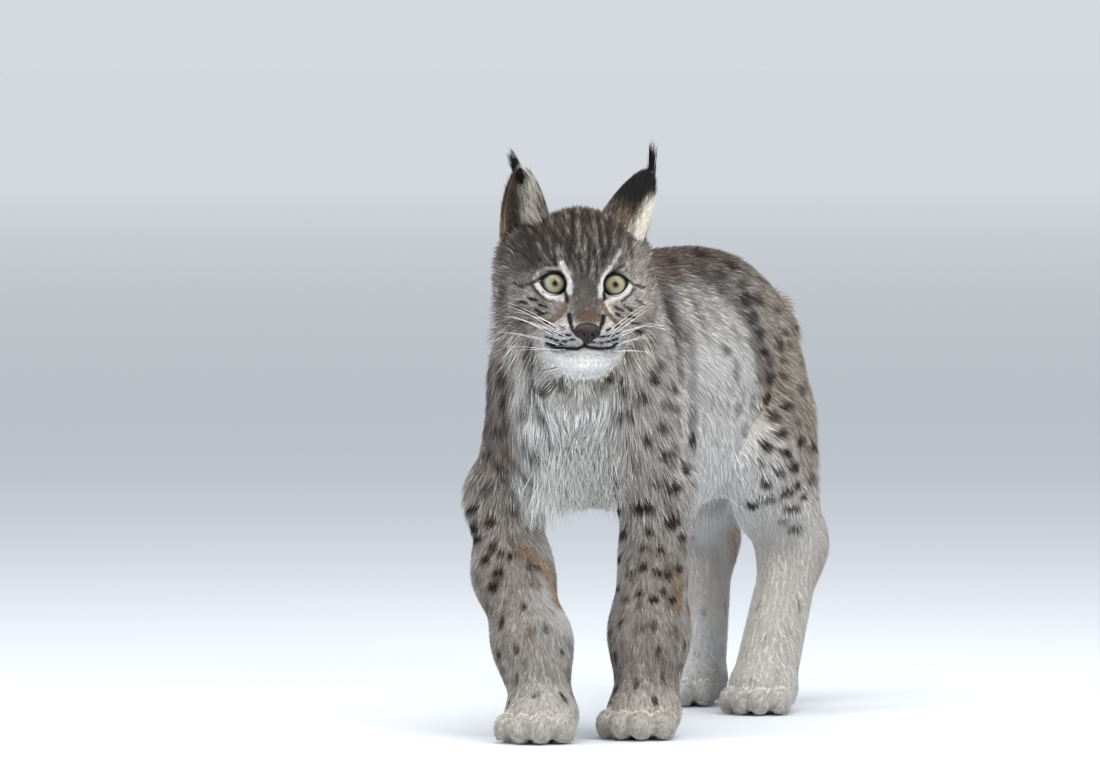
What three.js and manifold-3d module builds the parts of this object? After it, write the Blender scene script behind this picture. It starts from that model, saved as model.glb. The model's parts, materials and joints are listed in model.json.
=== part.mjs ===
// A young Eurasian lynx in winter coat, walking: a still, life-size model in millimetres.
// +Z is up, the body lies along Y with the head towards -Y, and the animal's left is +X.
// One smooth form, given as a distance, is turned into faceted solids and parted by thin cuts.

import * as THREE from "three";
import { mergeVertices } from "three/addons/utils/BufferGeometryUtils.js";
import Module from "manifold-3d";

const wasm = await Module();
wasm.setup();

// Driving dimensions
const GAP = 0.3; // between touching pieces
const FACE_HEIGHT = 462; // of the middle of the face above the floor
const FACE_MIDDLE = new THREE.Vector3(85, -380, FACE_HEIGHT);
const HEAD_TURN = THREE.MathUtils.degToRad(29); // the head is turned towards the animal's left
const HEAD_TILT = THREE.MathUtils.degToRad(1.2);
const EYE_SPREAD = 30; // from the middle of the face to the middle of an eyeball
const EYE_RISE = 4.4; // of the eyeballs above the middle of the face
const EYE_RADIUS = 14.5;
const LID_THICKNESS = 2.6;
const TUFT_LENGTH = 34; // of the black hairs beyond the tip of the ear
const PAW_HEIGHT = 56; // the paws are parted from the legs at this level
const BELLY_CUT = 203; // the lower legs are parted from the body at this level
const HEAD_CUT = 96; // behind the eyes, where the head is parted from the neck

const vec = (x, y, z) => new THREE.Vector3(x, y, z);

// Distances: negative inside a form, positive outside it

const mix = THREE.MathUtils.lerp;

function ball(centre, radii) {
  return (p) => {
    const x = p.x - centre.x;
    const y = p.y - centre.y;
    const z = p.z - centre.z;
    const near = Math.hypot(x / radii.x, y / radii.y, z / radii.z);
    const steep = Math.hypot(x / radii.x ** 2, y / radii.y ** 2, z / radii.z ** 2);
    return steep < 1e-6 ? -Math.min(radii.x, radii.y, radii.z) : (near * (near - 1)) / steep;
  };
}

function limb(start, end, startRadius, endRadius) {
  const along = end.clone().sub(start);
  const lengthSquared = along.lengthSq();
  return (p) => {
    const dot = (p.x - start.x) * along.x + (p.y - start.y) * along.y + (p.z - start.z) * along.z;
    const t = THREE.MathUtils.clamp(dot / lengthSquared, 0, 1);
    const x = p.x - start.x - along.x * t;
    const y = p.y - start.y - along.y * t;
    const z = p.z - start.z - along.z * t;
    return Math.hypot(x, y, z) - mix(startRadius, endRadius, t);
  };
}

function smoothMin(a, b, blend) {
  const near = Math.max(blend - Math.abs(a - b), 0) / blend;
  return Math.min(a, b) - (near * near * blend) / 4;
}

// Joins forms in turn, each with its own width of blending.
function joined(parts) {
  return (p) => {
    let distance = parts[0].form(p);
    for (const { form, blend } of parts.slice(1)) distance = smoothMin(distance, form(p), blend);
    return distance;
  };
}

// A value that runs smoothly through rows of [place, value, value, ...].
function along(rows, place, column) {
  const last = rows.length - 1;
  let i = 0;
  while (i < last - 1 && place > rows[i + 1][0]) i += 1;
  const [a, b] = [rows[i], rows[i + 1]];
  const before = rows[Math.max(i - 1, 0)];
  const after = rows[Math.min(i + 2, last)];
  const span = b[0] - a[0];
  const t = THREE.MathUtils.clamp((place - a[0]) / span, 0, 1);
  const slopeA = ((b[column] - before[column]) / (b[0] - before[0])) * span;
  const slopeB = ((after[column] - a[column]) / (after[0] - a[0])) * span;
  const t2 = t * t;
  const t3 = t2 * t;
  return (
    a[column] * (2 * t3 - 3 * t2 + 1) +
    slopeA * (t3 - 2 * t2 + t) +
    b[column] * (3 * t2 - 2 * t3) +
    slopeB * (t3 - t2)
  );
}

// The trunk: place along the back, height of the back, height of the belly, half width
const TRUNK = [
  [-285, 372, 300, 22],
  [-262, 408, 258, 46],
  [-220, 455, 238, 64],
  [-160, 488, 228, 73],
  [-80, 492, 222, 79],
  [0, 492, 218, 81],
  [90, 492, 218, 78],
  [165, 484, 232, 72],
  [230, 462, 262, 62],
  [280, 428, 300, 46],
  [312, 396, 344, 20],
];

function trunk(p) {
  const y = THREE.MathUtils.clamp(p.y, TRUNK[0][0], TRUNK.at(-1)[0]);
  const top = along(TRUNK, y, 1);
  const bottom = along(TRUNK, y, 2);
  const half = along(TRUNK, y, 3);
  const height = (top - bottom) / 2;
  const z = p.z - (top + bottom) / 2;
  const near = Math.hypot(p.x / half, z / height);
  const steep = Math.hypot(p.x / half ** 2, z / height ** 2);
  const side = steep < 1e-6 ? -half : (near * (near - 1)) / steep;
  return Math.hypot(Math.max(side, 0), p.y - y) + Math.min(side, 0);
}

// The legs: the joints from the shoulder or hip down, each with the radius of the coat there
const LEGS = {
  foreleg_left: [
    [56, -200, 368, 38],
    [66, -150, 252, 38],
    [63, -164, 105, 37],
    [64, -176, 30, 33],
  ],
  foreleg_right: [
    [-48, -215, 360, 35],
    [-86, -190, 242, 37],
    [-66, -214, 165, 37],
    [-34, -238, 98, 36],
    [-14, -256, 30, 32],
  ],
  hindleg_left: [
    [36, 190, 340, 40],
    [60, 118, 268, 38],
    [61, 222, 168, 31],
    [55, 160, 35, 34],
  ],
  hindleg_right: [
    [-36, 190, 340, 40],
    [-60, 126, 264, 37],
    [-59, 276, 170, 28],
    [-57, 238, 35, 33],
  ],
};

// The paws: the middle of the ball of the foot, the turn towards the left, and the size
const PAWS = {
  foreleg_left: { place: [64, -184], turn: 6, size: 1 },
  foreleg_right: { place: [-12, -268], turn: 10, size: 1 },
  hindleg_left: { place: [56, 148], turn: 4, size: 0.94 },
  hindleg_right: { place: [-55, 222], turn: -6, size: 0.94 },
};
const TOES = [
  [-29, -20],
  [-10, -34],
  [10, -34],
  [29, -20],
];

function pawForms({ place, turn, size }) {
  const turned = (x, y) =>
    vec(x, y, 0).multiplyScalar(size).applyAxisAngle(vec(0, 0, 1), THREE.MathUtils.degToRad(turn));
  const at = (x, y, z) => turned(x, y).add(vec(place[0], place[1], z * size));
  const radii = (x, y, z) => vec(x, y, z).multiplyScalar(size);
  const ballOfFoot = { form: ball(at(0, 4, 24), radii(37, 38, 29)), blend: 16 };
  const toes = TOES.map(([x, y]) => ({ form: ball(at(x, y, 15), radii(13, 20, 17)), blend: 6 }));
  return [ballOfFoot, ...toes];
}

const TAIL = [
  [-2, 300, 412, 28],
  [-12, 338, 390, 26],
  [-22, 358, 340, 24],
  [-28, 362, 292, 21],
];

function chain(joints, blend) {
  return joints.slice(1).map((end, i) => {
    const start = joints[i];
    return { form: limb(vec(...start), vec(...end), start[3], end[3]), blend };
  });
}

// The head, in its own frame: the origin in the middle of the face, the nose towards -Y
const mirrored = (x, y, z, rx, ry, rz, blend) =>
  [x, -x].map((side) => ({ form: ball(vec(side, y, z), vec(rx, ry, rz)), blend }));
const HEAD = joined([
  { form: ball(vec(0, 56, 8), vec(66, 72, 72)), blend: 1 }, // braincase
  { form: ball(vec(0, 16, 18), vec(44, 34, 36)), blend: 20 }, // forehead
  { form: ball(vec(0, 9, -26), vec(46, 33, 35)), blend: 20 }, // middle of the face
  { form: limb(vec(0, 2, 2), vec(0, -37, -34), 23, 15), blend: 22 }, // bridge of the nose
  ...mirrored(27, -1, 22, 17, 12, 9, 12), // brows
  ...mirrored(42, 8, 0, 18, 14, 15, 12), // outer corners of the eyes
  ...mirrored(42, 32, -22, 36, 38, 36, 20), // cheekbones
  ...mirrored(52, 62, -38, 33, 36, 50, 22), // ruff of the cheeks
  { form: ball(vec(48, 66, 14), vec(30, 34, 44)), blend: 20 }, // left side below the ear
  { form: ball(vec(-55, 68, 12), vec(30, 34, 46)), blend: 20 }, // right side below the ear
  ...mirrored(17, -31, -50, 25, 25, 18, 18), // whisker pads
  { form: ball(vec(0, -22, -74), vec(27, 25, 16)), blend: 10 }, // chin
  { form: ball(vec(0, 26, -62), vec(46, 48, 30)), blend: 20 }, // jaw
]);

const headFrame = new THREE.Matrix4()
  .makeTranslation(FACE_MIDDLE)
  .multiply(new THREE.Matrix4().makeRotationZ(HEAD_TURN))
  .multiply(new THREE.Matrix4().makeRotationY(HEAD_TILT));
const intoHead = headFrame.clone().invert();
const headPoint = (x, y, z) => vec(x, y, z).applyMatrix4(headFrame);
const head = (p) => HEAD(p.clone().applyMatrix4(intoHead));

const body = joined([
  { form: trunk, blend: 1 },
  { form: ball(vec(56, -192, 345), vec(34, 60, 98)), blend: 24 }, // left shoulder
  { form: ball(vec(-50, -205, 345), vec(34, 58, 96)), blend: 24 }, // right shoulder
  { form: ball(vec(40, 200, 290), vec(41, 80, 106)), blend: 26 }, // left haunch
  { form: ball(vec(-40, 204, 290), vec(41, 80, 106)), blend: 26 }, // right haunch
  { form: limb(vec(44, 226, 312), vec(60, 232, 200), 36, 28), blend: 24 }, // left hamstring
  { form: limb(vec(-44, 240, 312), vec(-58, 272, 200), 36, 28), blend: 24 }, // right hamstring
  ...chain(LEGS.foreleg_left, 28),
  ...chain(LEGS.foreleg_right, 28),
  ...chain(LEGS.hindleg_left, 28),
  ...chain(LEGS.hindleg_right, 28),
  { form: limb(headPoint(0, 84, -14), vec(4, -196, 380), 60, 74), blend: 40 }, // neck
  { form: limb(headPoint(0, 62, -52), vec(4, -232, 330), 44, 56), blend: 36 }, // throat
  { form: head, blend: 22 },
  ...chain(TAIL, 24),
  ...Object.values(PAWS).flatMap(pawForms),
]);

// Turning a form into a faceted solid

const steps = (from, to, step) => {
  const count = Math.round((to - from) / step);
  return Array.from({ length: count + 1 }, (_, i) => from + ((to - from) * i) / count);
};

// The direction in which the distance grows, times its steepness.
const SLOPE_STEP = 2;
function slope(form, p) {
  const d = SLOPE_STEP;
  const change = (axis) => {
    const low = p.clone();
    const high = p.clone();
    low[axis] -= d;
    high[axis] += d;
    return (form(high) - form(low)) / (2 * d);
  };
  return vec(change("x"), change("y"), change("z"));
}

// Moves a point onto the surface, or onto one that lies further out by the lift.
function ontoSurface(form, p, lift = 0) {
  const found = p.clone();
  for (let i = 0; i < 4; i += 1) {
    const grad = slope(form, found);
    found.addScaledVector(grad, -(form(found) - lift) / Math.max(grad.lengthSq(), 0.05));
  }
  return found;
}

// Where opposite corners of a grid face lie inside and the other two outside, the surface would
// touch itself along an edge: the corner nearest to the surface changes sides.
function untangle(values, strides) {
  const pairs = [
    [strides[0], strides[1]],
    [strides[0], strides[2]],
    [strides[1], strides[2]],
  ];
  let changed = true;
  while (changed) {
    changed = false;
    for (const [u, v] of pairs)
      for (let a = 0; a + u + v < values.length; a += 1) {
        const face = [a, a + u, a + v, a + u + v];
        const [p, q, r, s] = face.map((corner) => values[corner] < 0);
        if (p !== s || q !== r || p === q) continue;
        const nearest = face.reduce((m, c) => (Math.abs(values[c]) < Math.abs(values[m]) ? c : m));
        values[nearest] *= -1;
        changed = true;
      }
  }
}

// A vertex in each grid cell that the surface crosses, and a quad round each grid edge it crosses.
function faceted(form, xs, ys, zs) {
  const [nx, ny, nz] = [xs.length, ys.length, zs.length];
  const at = (i, j, k) => (k * ny + j) * nx + i;
  const values = new Float64Array(nx * ny * nz);
  const p = vec(0, 0, 0);
  zs.forEach((z, k) =>
    ys.forEach((y, j) =>
      xs.forEach((x, i) => {
        const rim = i * j * k === 0 || i === nx - 1 || j === ny - 1 || k === nz - 1;
        values[at(i, j, k)] = rim ? 1 : form(p.set(x, y, z));
      }),
    ),
  );
  untangle(values, [1, nx, nx * ny]);
  const corner = (i, j, k) => vec(xs[i], ys[j], zs[k]);
  const edges = [];
  for (let a = 0; a < 8; a += 1)
    for (const bit of [1, 2, 4]) if (!(a & bit)) edges.push([a, a | bit]);
  const offset = (c) => [c & 1, (c >> 1) & 1, (c >> 2) & 1];
  const vertexOf = new Map();
  const positions = [];
  for (let k = 0; k < nz - 1; k += 1)
    for (let j = 0; j < ny - 1; j += 1)
      for (let i = 0; i < nx - 1; i += 1) {
        const sum = vec(0, 0, 0);
        let crossings = 0;
        for (const [a, b] of edges) {
          const [ai, aj, ak] = offset(a);
          const [bi, bj, bk] = offset(b);
          const va = values[at(i + ai, j + aj, k + ak)];
          const vb = values[at(i + bi, j + bj, k + bk)];
          if (va < 0 === vb < 0) continue;
          sum.add(corner(i + ai, j + aj, k + ak).lerp(corner(i + bi, j + bj, k + bk), va / (va - vb)));
          crossings += 1;
        }
        if (!crossings) continue;
        const found = sum.divideScalar(crossings);
        const cell = Math.min(xs[i + 1] - xs[i], ys[j + 1] - ys[j], zs[k + 1] - zs[k]);
        const move = ontoSurface(form, found).sub(found).clampLength(0, cell * 0.4);
        const placed = found.add(move);
        vertexOf.set(at(i, j, k), positions.length / 3);
        positions.push(placed.x, placed.y, placed.z);
      }
  const index = [];
  const quad = (a, b, c, d, flip) => {
    const q = [a, b, c, d].map((cell) => vertexOf.get(cell));
    if (flip) q.reverse();
    index.push(q[0], q[1], q[2], q[0], q[2], q[3]);
  };
  for (let k = 0; k < nz - 1; k += 1)
    for (let j = 0; j < ny - 1; j += 1)
      for (let i = 0; i < nx - 1; i += 1) {
        const inside = values[at(i, j, k)] < 0;
        if (j && k && values[at(i + 1, j, k)] < 0 !== inside)
          quad(at(i, j - 1, k - 1), at(i, j, k - 1), at(i, j, k), at(i, j - 1, k), !inside);
        if (i && k && values[at(i, j + 1, k)] < 0 !== inside)
          quad(at(i - 1, j, k - 1), at(i - 1, j, k), at(i, j, k), at(i, j, k - 1), !inside);
        if (i && j && values[at(i, j, k + 1)] < 0 !== inside)
          quad(at(i - 1, j - 1, k), at(i, j - 1, k), at(i, j, k), at(i - 1, j, k), !inside);
      }
  const geometry = new THREE.BufferGeometry();
  geometry.setAttribute("position", new THREE.Float32BufferAttribute(positions, 3));
  geometry.setIndex(index);
  return geometry;
}

// Solids for cutting and joining

function solid(geometry) {
  const bare = geometry.clone();
  bare.deleteAttribute("normal");
  bare.deleteAttribute("uv");
  const merged = mergeVertices(bare, 1e-3);
  const mesh = new wasm.Mesh({
    numProp: 3,
    vertProperties: new Float32Array(merged.attributes.position.array),
    triVerts: new Uint32Array(merged.index.array),
  });
  return new wasm.Manifold(mesh);
}

function geometryOf(shape) {
  const { vertProperties, triVerts } = shape.getMesh();
  const geometry = new THREE.BufferGeometry();
  geometry.setAttribute("position", new THREE.BufferAttribute(new Float32Array(vertProperties), 3));
  geometry.setIndex(new THREE.BufferAttribute(new Uint32Array(triVerts), 1));
  return geometry;
}

const largest = (shape) => shape.decompose().sort((a, b) => b.volume() - a.volume())[0];

// The same solid, with its surface moved out by the gap.
function swollen(shape, by = GAP) {
  const geometry = geometryOf(shape);
  geometry.computeVertexNormals();
  const { position, normal } = geometry.attributes;
  for (let i = 0; i < position.count; i += 1)
    position.setXYZ(
      i,
      position.getX(i) + normal.getX(i) * by,
      position.getY(i) + normal.getY(i) * by,
      position.getZ(i) + normal.getZ(i) * by,
    );
  return solid(geometry);
}

const boxOf = (shape) => {
  const { min, max } = shape.boundingBox();
  return new THREE.Box3(vec(...min), vec(...max)).expandByScalar(2);
};

// The first solid without all of the second, and without a thin space round it.
const clearOf = (shape, other, by = GAP) =>
  boxOf(other).intersectsBox(boxOf(shape)) ? shape.subtract(other).subtract(swollen(other, by)) : shape;

const BLOCK = 1400; // a side of the blocks that cut by a plane

// Everything on the far side of a plane, measured along its normal.
function beyond(point, normal, gap = 0) {
  const block = new THREE.BoxGeometry(BLOCK, BLOCK, BLOCK).translate(0, 0, BLOCK / 2 + gap);
  const turn = new THREE.Quaternion().setFromUnitVectors(vec(0, 0, 1), normal.clone().normalize());
  return solid(block.applyQuaternion(turn).translate(point.x, point.y, point.z));
}

// A flat outline in the YZ plane, grown by the gap and given a thickness outwards from a place.
function sideCut(points, side, from, grow) {
  const curve = new THREE.SplineCurve([...points, points[0]].map((p) => new THREE.Vector2(...p)));
  const ring = curve.getPoints(points.length * 3).slice(0, -1);
  const turning = THREE.ShapeUtils.isClockWise(ring) ? -1 : 1;
  const grown = ring.map((p, i) => {
    const ahead = ring[(i + 1) % ring.length];
    const behind = ring[(i + ring.length - 1) % ring.length];
    const way = ahead.clone().sub(behind).normalize();
    return p.clone().add(new THREE.Vector2(way.y, -way.x).multiplyScalar(grow * turning));
  });
  const block = new THREE.ExtrudeGeometry(new THREE.Shape(grown), { depth: BLOCK, bevelEnabled: false });
  const sideways = new THREE.Matrix4().makeBasis(vec(0, 1, 0), vec(0, 0, 1), vec(1, 0, 0));
  const start = side > 0 ? from - grow : grow - from - BLOCK;
  return solid(block.applyMatrix4(sideways).translate(start, 0, 0));
}

// Long hair: flat tapered locks that leave the surface at a low angle and bend along its lie

let seed = 11;
function random() {
  seed = (seed * 16807) % 2147483647;
  return seed / 2147483647;
}
const about = (value, spread) => value * (1 + spread * (2 * random() - 1));

const LOCK_PLACES = [-0.22, 0.3, 0.68]; // of the rings along a lock, before its tip
const LOCK_FULLNESS = [0.8, 1, 0.6];

function lock(root, normal, lie, { length, width, thick, rise = 0.12, sag = 0 }) {
  const side = normal.clone().cross(lie).normalize();
  const sway = (random() - 0.5) * 0.3 * length;
  const centre = (t) =>
    root
      .clone()
      .addScaledVector(lie, length * t)
      .addScaledVector(normal, length * (rise * Math.sin(2.2 * t) + sag * t * t))
      .addScaledVector(side, sway * t * t);
  const sides = [
    [1, -0.4],
    [0, 1],
    [-1, -0.4],
  ];
  const count = sides.length;
  const points = LOCK_PLACES.flatMap((t, i) =>
    sides.map(([across, out]) =>
      centre(t)
        .addScaledVector(side, (across * width * LOCK_FULLNESS[i]) / 2)
        .addScaledVector(normal, (out * thick * LOCK_FULLNESS[i]) / 2),
    ),
  );
  points.push(centre(1));
  const tip = points.length - 1;
  const index = [0, 2, 1];
  for (let ring = 0; ring < LOCK_PLACES.length - 1; ring += 1)
    for (let i = 0; i < count; i += 1) {
      const [a, b] = [ring * count + i, ring * count + ((i + 1) % count)];
      index.push(a, b, b + count, a, b + count, a + count);
    }
  for (let i = 0; i < count; i += 1) index.push(tip - count + i, tip - count + ((i + 1) % count), tip);
  const geometry = new THREE.BufferGeometry().setFromPoints(points);
  geometry.setIndex(index);
  return solid(geometry);
}

// Locks rooted on a form near each place, all lying towards one way with a little scatter.
function locks(form, places, way, options) {
  return places.map((place) => {
    const jitter = vec(random() - 0.5, random() - 0.5, random() - 0.5).multiplyScalar(options.width * 0.5);
    const root = ontoSurface(form, place.clone().add(jitter), -2);
    const normal = slope(form, root).normalize();
    const scatter = vec(random() - 0.5, random() - 0.5, random() - 0.5).multiplyScalar(0.35);
    const lie = way(place).add(scatter).projectOnPlane(normal).normalize();
    return lock(root, normal, lie, { ...options, length: about(options.length, 0.15) });
  });
}

// Places in rows: one step across and one down at a time, every other row set half a step over.
function rows(across, down, at) {
  return Array.from({ length: down }, (_, j) =>
    Array.from({ length: across }, (_, i) => at((i + (j % 2) / 2) / across, j / Math.max(down - 1, 1))),
  ).flat();
}

const nodes = new Map();
const half = GAP / 2;

// The head

const headSteps = {
  x: [...steps(-112, -54, 16), ...steps(-43, 43, 9.4), ...steps(54, 112, 16)],
  y: [...steps(-68, 4, 8.2), ...steps(18, 158, 16)],
  z: [...steps(-132, -100, 14), ...steps(-88, 24, 9.2), ...steps(37, 99, 15.5)],
};
const skull = solid(
  faceted((p) => body(p.clone().applyMatrix4(headFrame)), headSteps.x, headSteps.y, headSteps.z),
);

// The nose pad, with a comma-shaped nostril on each side
const NOSE = joined([
  { form: ball(vec(0, -50, -41), vec(11, 12, 8)), blend: 1 },
  ...mirrored(6, -52, -43, 5.5, 9.5, 6, 4),
  { form: ball(vec(0, -52, -47), vec(5, 8, 5)), blend: 5 },
]);
const NOSTRIL_RADIUS = 2;
const nosePad = solid(faceted(NOSE, steps(-17, 17, 4.6), steps(-68, -34, 5.2), steps(-56, -29, 4.2)));
const nostrils = [1, -1].map((side) => {
  const path = new THREE.CatmullRomCurve3([
    vec(side * 12.5, -57, -44),
    vec(side * 7, -61, -41.5),
    vec(side * 4, -62, -43.5),
    vec(side * 4.2, -57, -45.5),
  ]);
  const round = new THREE.Shape().absarc(0, 0, NOSTRIL_RADIUS, 0, Math.PI * 2);
  const options = { steps: 5, extrudePath: path, curveSegments: 2, bevelEnabled: false };
  return solid(new THREE.ExtrudeGeometry(round, options));
});
const nose = largest(nostrils.reduce((pad, nostril) => pad.subtract(nostril), nosePad));

// The eyes and their lids: a shell round the eyeball, opened to an almond that dips to the nose
const eyeball = (radius) => new THREE.SphereGeometry(radius, 14, 9);
const almond = (side) => {
  const outline = new THREE.Shape();
  const s = side;
  outline.moveTo(-14 * s, -4);
  outline.bezierCurveTo(-9 * s, 8, -5 * s, 10.5, s, 10);
  outline.bezierCurveTo(7 * s, 9.4, 11 * s, 6, 13.5 * s, 1.5);
  outline.bezierCurveTo(10 * s, -6, 6 * s, -9.6, 0, -9.6);
  outline.bezierCurveTo(-5 * s, -9.6, -9 * s, -7, -14 * s, -4);
  const options = { depth: 30, curveSegments: 5, bevelEnabled: false };
  const block = new THREE.ExtrudeGeometry(outline, options);
  return block.applyMatrix4(new THREE.Matrix4().makeBasis(vec(1, 0, 0), vec(0, 0, 1), vec(0, -1, 0)));
};
const atEye = (geometry, side) => solid(geometry.translate(side * EYE_SPREAD, 0, EYE_RISE));

// An ear: a tapering cup whose rim faces the opening, with its root sunk into the head
function ear({ root, tip, opening, width, depth, bow }) {
  const up = tip.clone().sub(root);
  const back = opening.clone().projectOnPlane(up.clone().normalize()).normalize().negate();
  const across = up.clone().normalize().cross(back);
  const [levels, arc, thickness] = [7, 6, 3.2];
  const ring = (t) => {
    const reach = Math.sqrt(1 - t ** 2.2) * mix(1, 0.86, t) + 0.02;
    const [w, d] = [width * reach, depth * reach];
    const middle = root.clone().addScaledVector(up, t).addScaledVector(back, bow * Math.sin(t * 2.6));
    const turn = mix(0.62, 0.46, t) * Math.PI;
    const arcPoint = (i, inset) => {
      const angle = -turn + (2 * turn * i) / arc;
      return middle
        .clone()
        .addScaledVector(across, Math.sin(angle) * Math.max(w - inset, 0.4))
        .addScaledVector(back, Math.cos(angle) * Math.max(d - inset, 0.4));
    };
    const outer = Array.from({ length: arc + 1 }, (_, i) => arcPoint(i, 0));
    const inner = Array.from({ length: arc + 1 }, (_, i) => arcPoint(arc - i, thickness * reach + 0.3));
    return [...outer, ...inner];
  };
  const count = 2 * (arc + 1);
  const points = Array.from({ length: levels }, (_, i) => ring(i / (levels - 1))).flat();
  const index = [];
  for (let level = 0; level < levels - 1; level += 1)
    for (let i = 0; i < count; i += 1) {
      const a = level * count + i;
      const b = level * count + ((i + 1) % count);
      index.push(a, b, b + count, a, b + count, a + count);
    }
  for (let i = 0; i < arc; i += 1) {
    const [a, b, c, d] = [i, i + 1, count - 2 - i, count - 1 - i];
    const top = (levels - 1) * count;
    index.push(a, c, b, a, d, c, top + a, top + b, top + c, top + a, top + c, top + d);
  }
  const geometry = new THREE.BufferGeometry().setFromPoints(points);
  geometry.setIndex(index);
  return solid(geometry);
}
const ears = {
  ear_right: ear({
    root: vec(-50, 64, 40),
    tip: vec(-58, 66, 116),
    opening: vec(-0.25, -1, 0.1),
    width: 28,
    depth: 20,
    bow: -6,
  }),
  ear_left: ear({
    root: vec(32, 66, 40),
    tip: vec(72, 70, 116),
    opening: vec(0.5, 0.85, -0.1),
    width: 29,
    depth: 19,
    bow: 3,
  }),
};

// The line of the mouth, and the groove from the nose down to it, lie on the surface
const groove = (points, radius, count) => {
  const path = new THREE.CatmullRomCurve3(points.map((p) => ontoSurface(HEAD, vec(...p))));
  const round = new THREE.Shape().absarc(0, 0, radius, 0, Math.PI * 2);
  const options = { steps: count, extrudePath: path, curveSegments: 2, bevelEnabled: false };
  return solid(new THREE.ExtrudeGeometry(round, options));
};
const MOUTH = [
  [-38, -24, -53],
  [-28, -42, -59],
  [-14, -52, -60],
  [0, -50, -56],
  [14, -52, -60],
  [28, -42, -59],
  [38, -24, -53],
];
const mouth = groove(MOUTH, 1.9, 16);
const philtrum = groove([[0, -58, -48], [0, -56, -57]], 1.3, 4);

const headCutPoint = vec(0, HEAD_CUT, -20);
const headCutWay = vec(0, -0.82, 0.57).normalize();
let face = skull;
for (const side of [1, -1]) face = face.add(atEye(eyeball(EYE_RADIUS + LID_THICKNESS), side));
for (const side of [1, -1]) face = face.subtract(atEye(almond(side).translate(0, -3, 0), side));
for (const side of [1, -1]) face = face.subtract(atEye(eyeball(EYE_RADIUS + GAP), side));
face = clearOf(face.subtract(mouth).subtract(philtrum), nose);
for (const shape of Object.values(ears)) face = clearOf(face, shape);
face = largest(face.intersect(beyond(headCutPoint, headCutWay, half)));

const inPlace = (shape) => shape.transform(headFrame.elements);

// Black tufts on the tips of the ears, and the pale hair inside them
function earTuft(tip, way, size) {
  const places = rows(4, 1, (u) => vec(2.6 * Math.cos(u * 6.3), 2.6 * Math.sin(u * 6.3), -12).add(tip));
  return places.map((place, i) => {
    const lie = way.clone().add(vec(random() - 0.5, random() - 0.5, 0).multiplyScalar(0.12)).normalize();
    const out = place.clone().sub(tip).setZ(0).projectOnPlane(lie).normalize();
    const length = (size * (5 - 0.6 * i)) / 5 + 12;
    return lock(place, out, lie, { length, width: 8, thick: 5, rise: -0.06 });
  });
}
function earFringe(from, to, out, way) {
  return [0.15, 0.65].map((u) => {
    const place = from.clone().lerp(to, u);
    const lie = way.clone().addScaledVector(out, about(0.1, 1)).normalize();
    const normal = out.clone().projectOnPlane(lie).normalize();
    return lock(place, normal, lie, { length: about(mix(40, 24, u), 0.1), width: 16, thick: 4 });
  });
}
nodes.set("head", inPlace(face));
nodes.set("nose", inPlace(nose));
nodes.set("eye_left", inPlace(atEye(eyeball(EYE_RADIUS), 1)));
nodes.set("eye_right", inPlace(atEye(eyeball(EYE_RADIUS), -1)));
for (const [name, shape] of Object.entries(ears)) nodes.set(name, inPlace(shape));

// The body

const bodySteps = {
  x: steps(-132, 132, 22),
  y: [...steps(-330, -110, 20), ...steps(-76, 70, 46), ...steps(98, 420, 20)],
  z: steps(-16, 520, 22),
};
const floor = beyond(vec(0, 0, 0), vec(0, 0, 1));
const whole = solid(faceted(body, bodySteps.x, bodySteps.y, bodySteps.z)).intersect(floor);

const neckCut = vec(6, -236, 400);
const neckWay = vec(0.14, -0.88, 0.46).normalize();
const tailCut = vec(0, 320, 400);
const tailWay = vec(0, 1, -0.06).normalize();
const up = vec(0, 0, 1);
const cutHead = (gap) => inPlace(beyond(headCutPoint, headCutWay, gap));

const trunkAndLegs = whole.subtract(beyond(neckCut, neckWay, -half));
nodes.set("neck", largest(whole.intersect(beyond(neckCut, neckWay, half)).subtract(cutHead(-half))));
const upper = trunkAndLegs.intersect(beyond(vec(0, 0, BELLY_CUT), up, half));
nodes.set("tail", largest(upper.intersect(beyond(tailCut, tailWay, half))));
let torso = upper.subtract(beyond(tailCut, tailWay, -half));

// Each shoulder and haunch is parted from the trunk by an outline seen from the side
const SHOULDER = (y) => [
  [y - 60, 180],
  [y - 66, 270],
  [y - 62, 350],
  [y - 26, 418],
  [y + 26, 420],
  [y + 62, 350],
  [y + 92, 262],
  [y + 84, 180],
];
const HAUNCH = (y) => [
  [y - 110, 180],
  [y - 142, 262],
  [y - 98, 340],
  [y - 30, 394],
  [y + 34, 392],
  [y + 72, 320],
  [y + 80, 240],
  [y + 76, 180],
];
const OUTLINES = {
  foreleg_left: SHOULDER(-174),
  foreleg_right: SHOULDER(-206),
  hindleg_left: HAUNCH(190),
  hindleg_right: HAUNCH(200),
};
const INNER = 27; // the shoulders and haunches reach in to this distance from the middle

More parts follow.
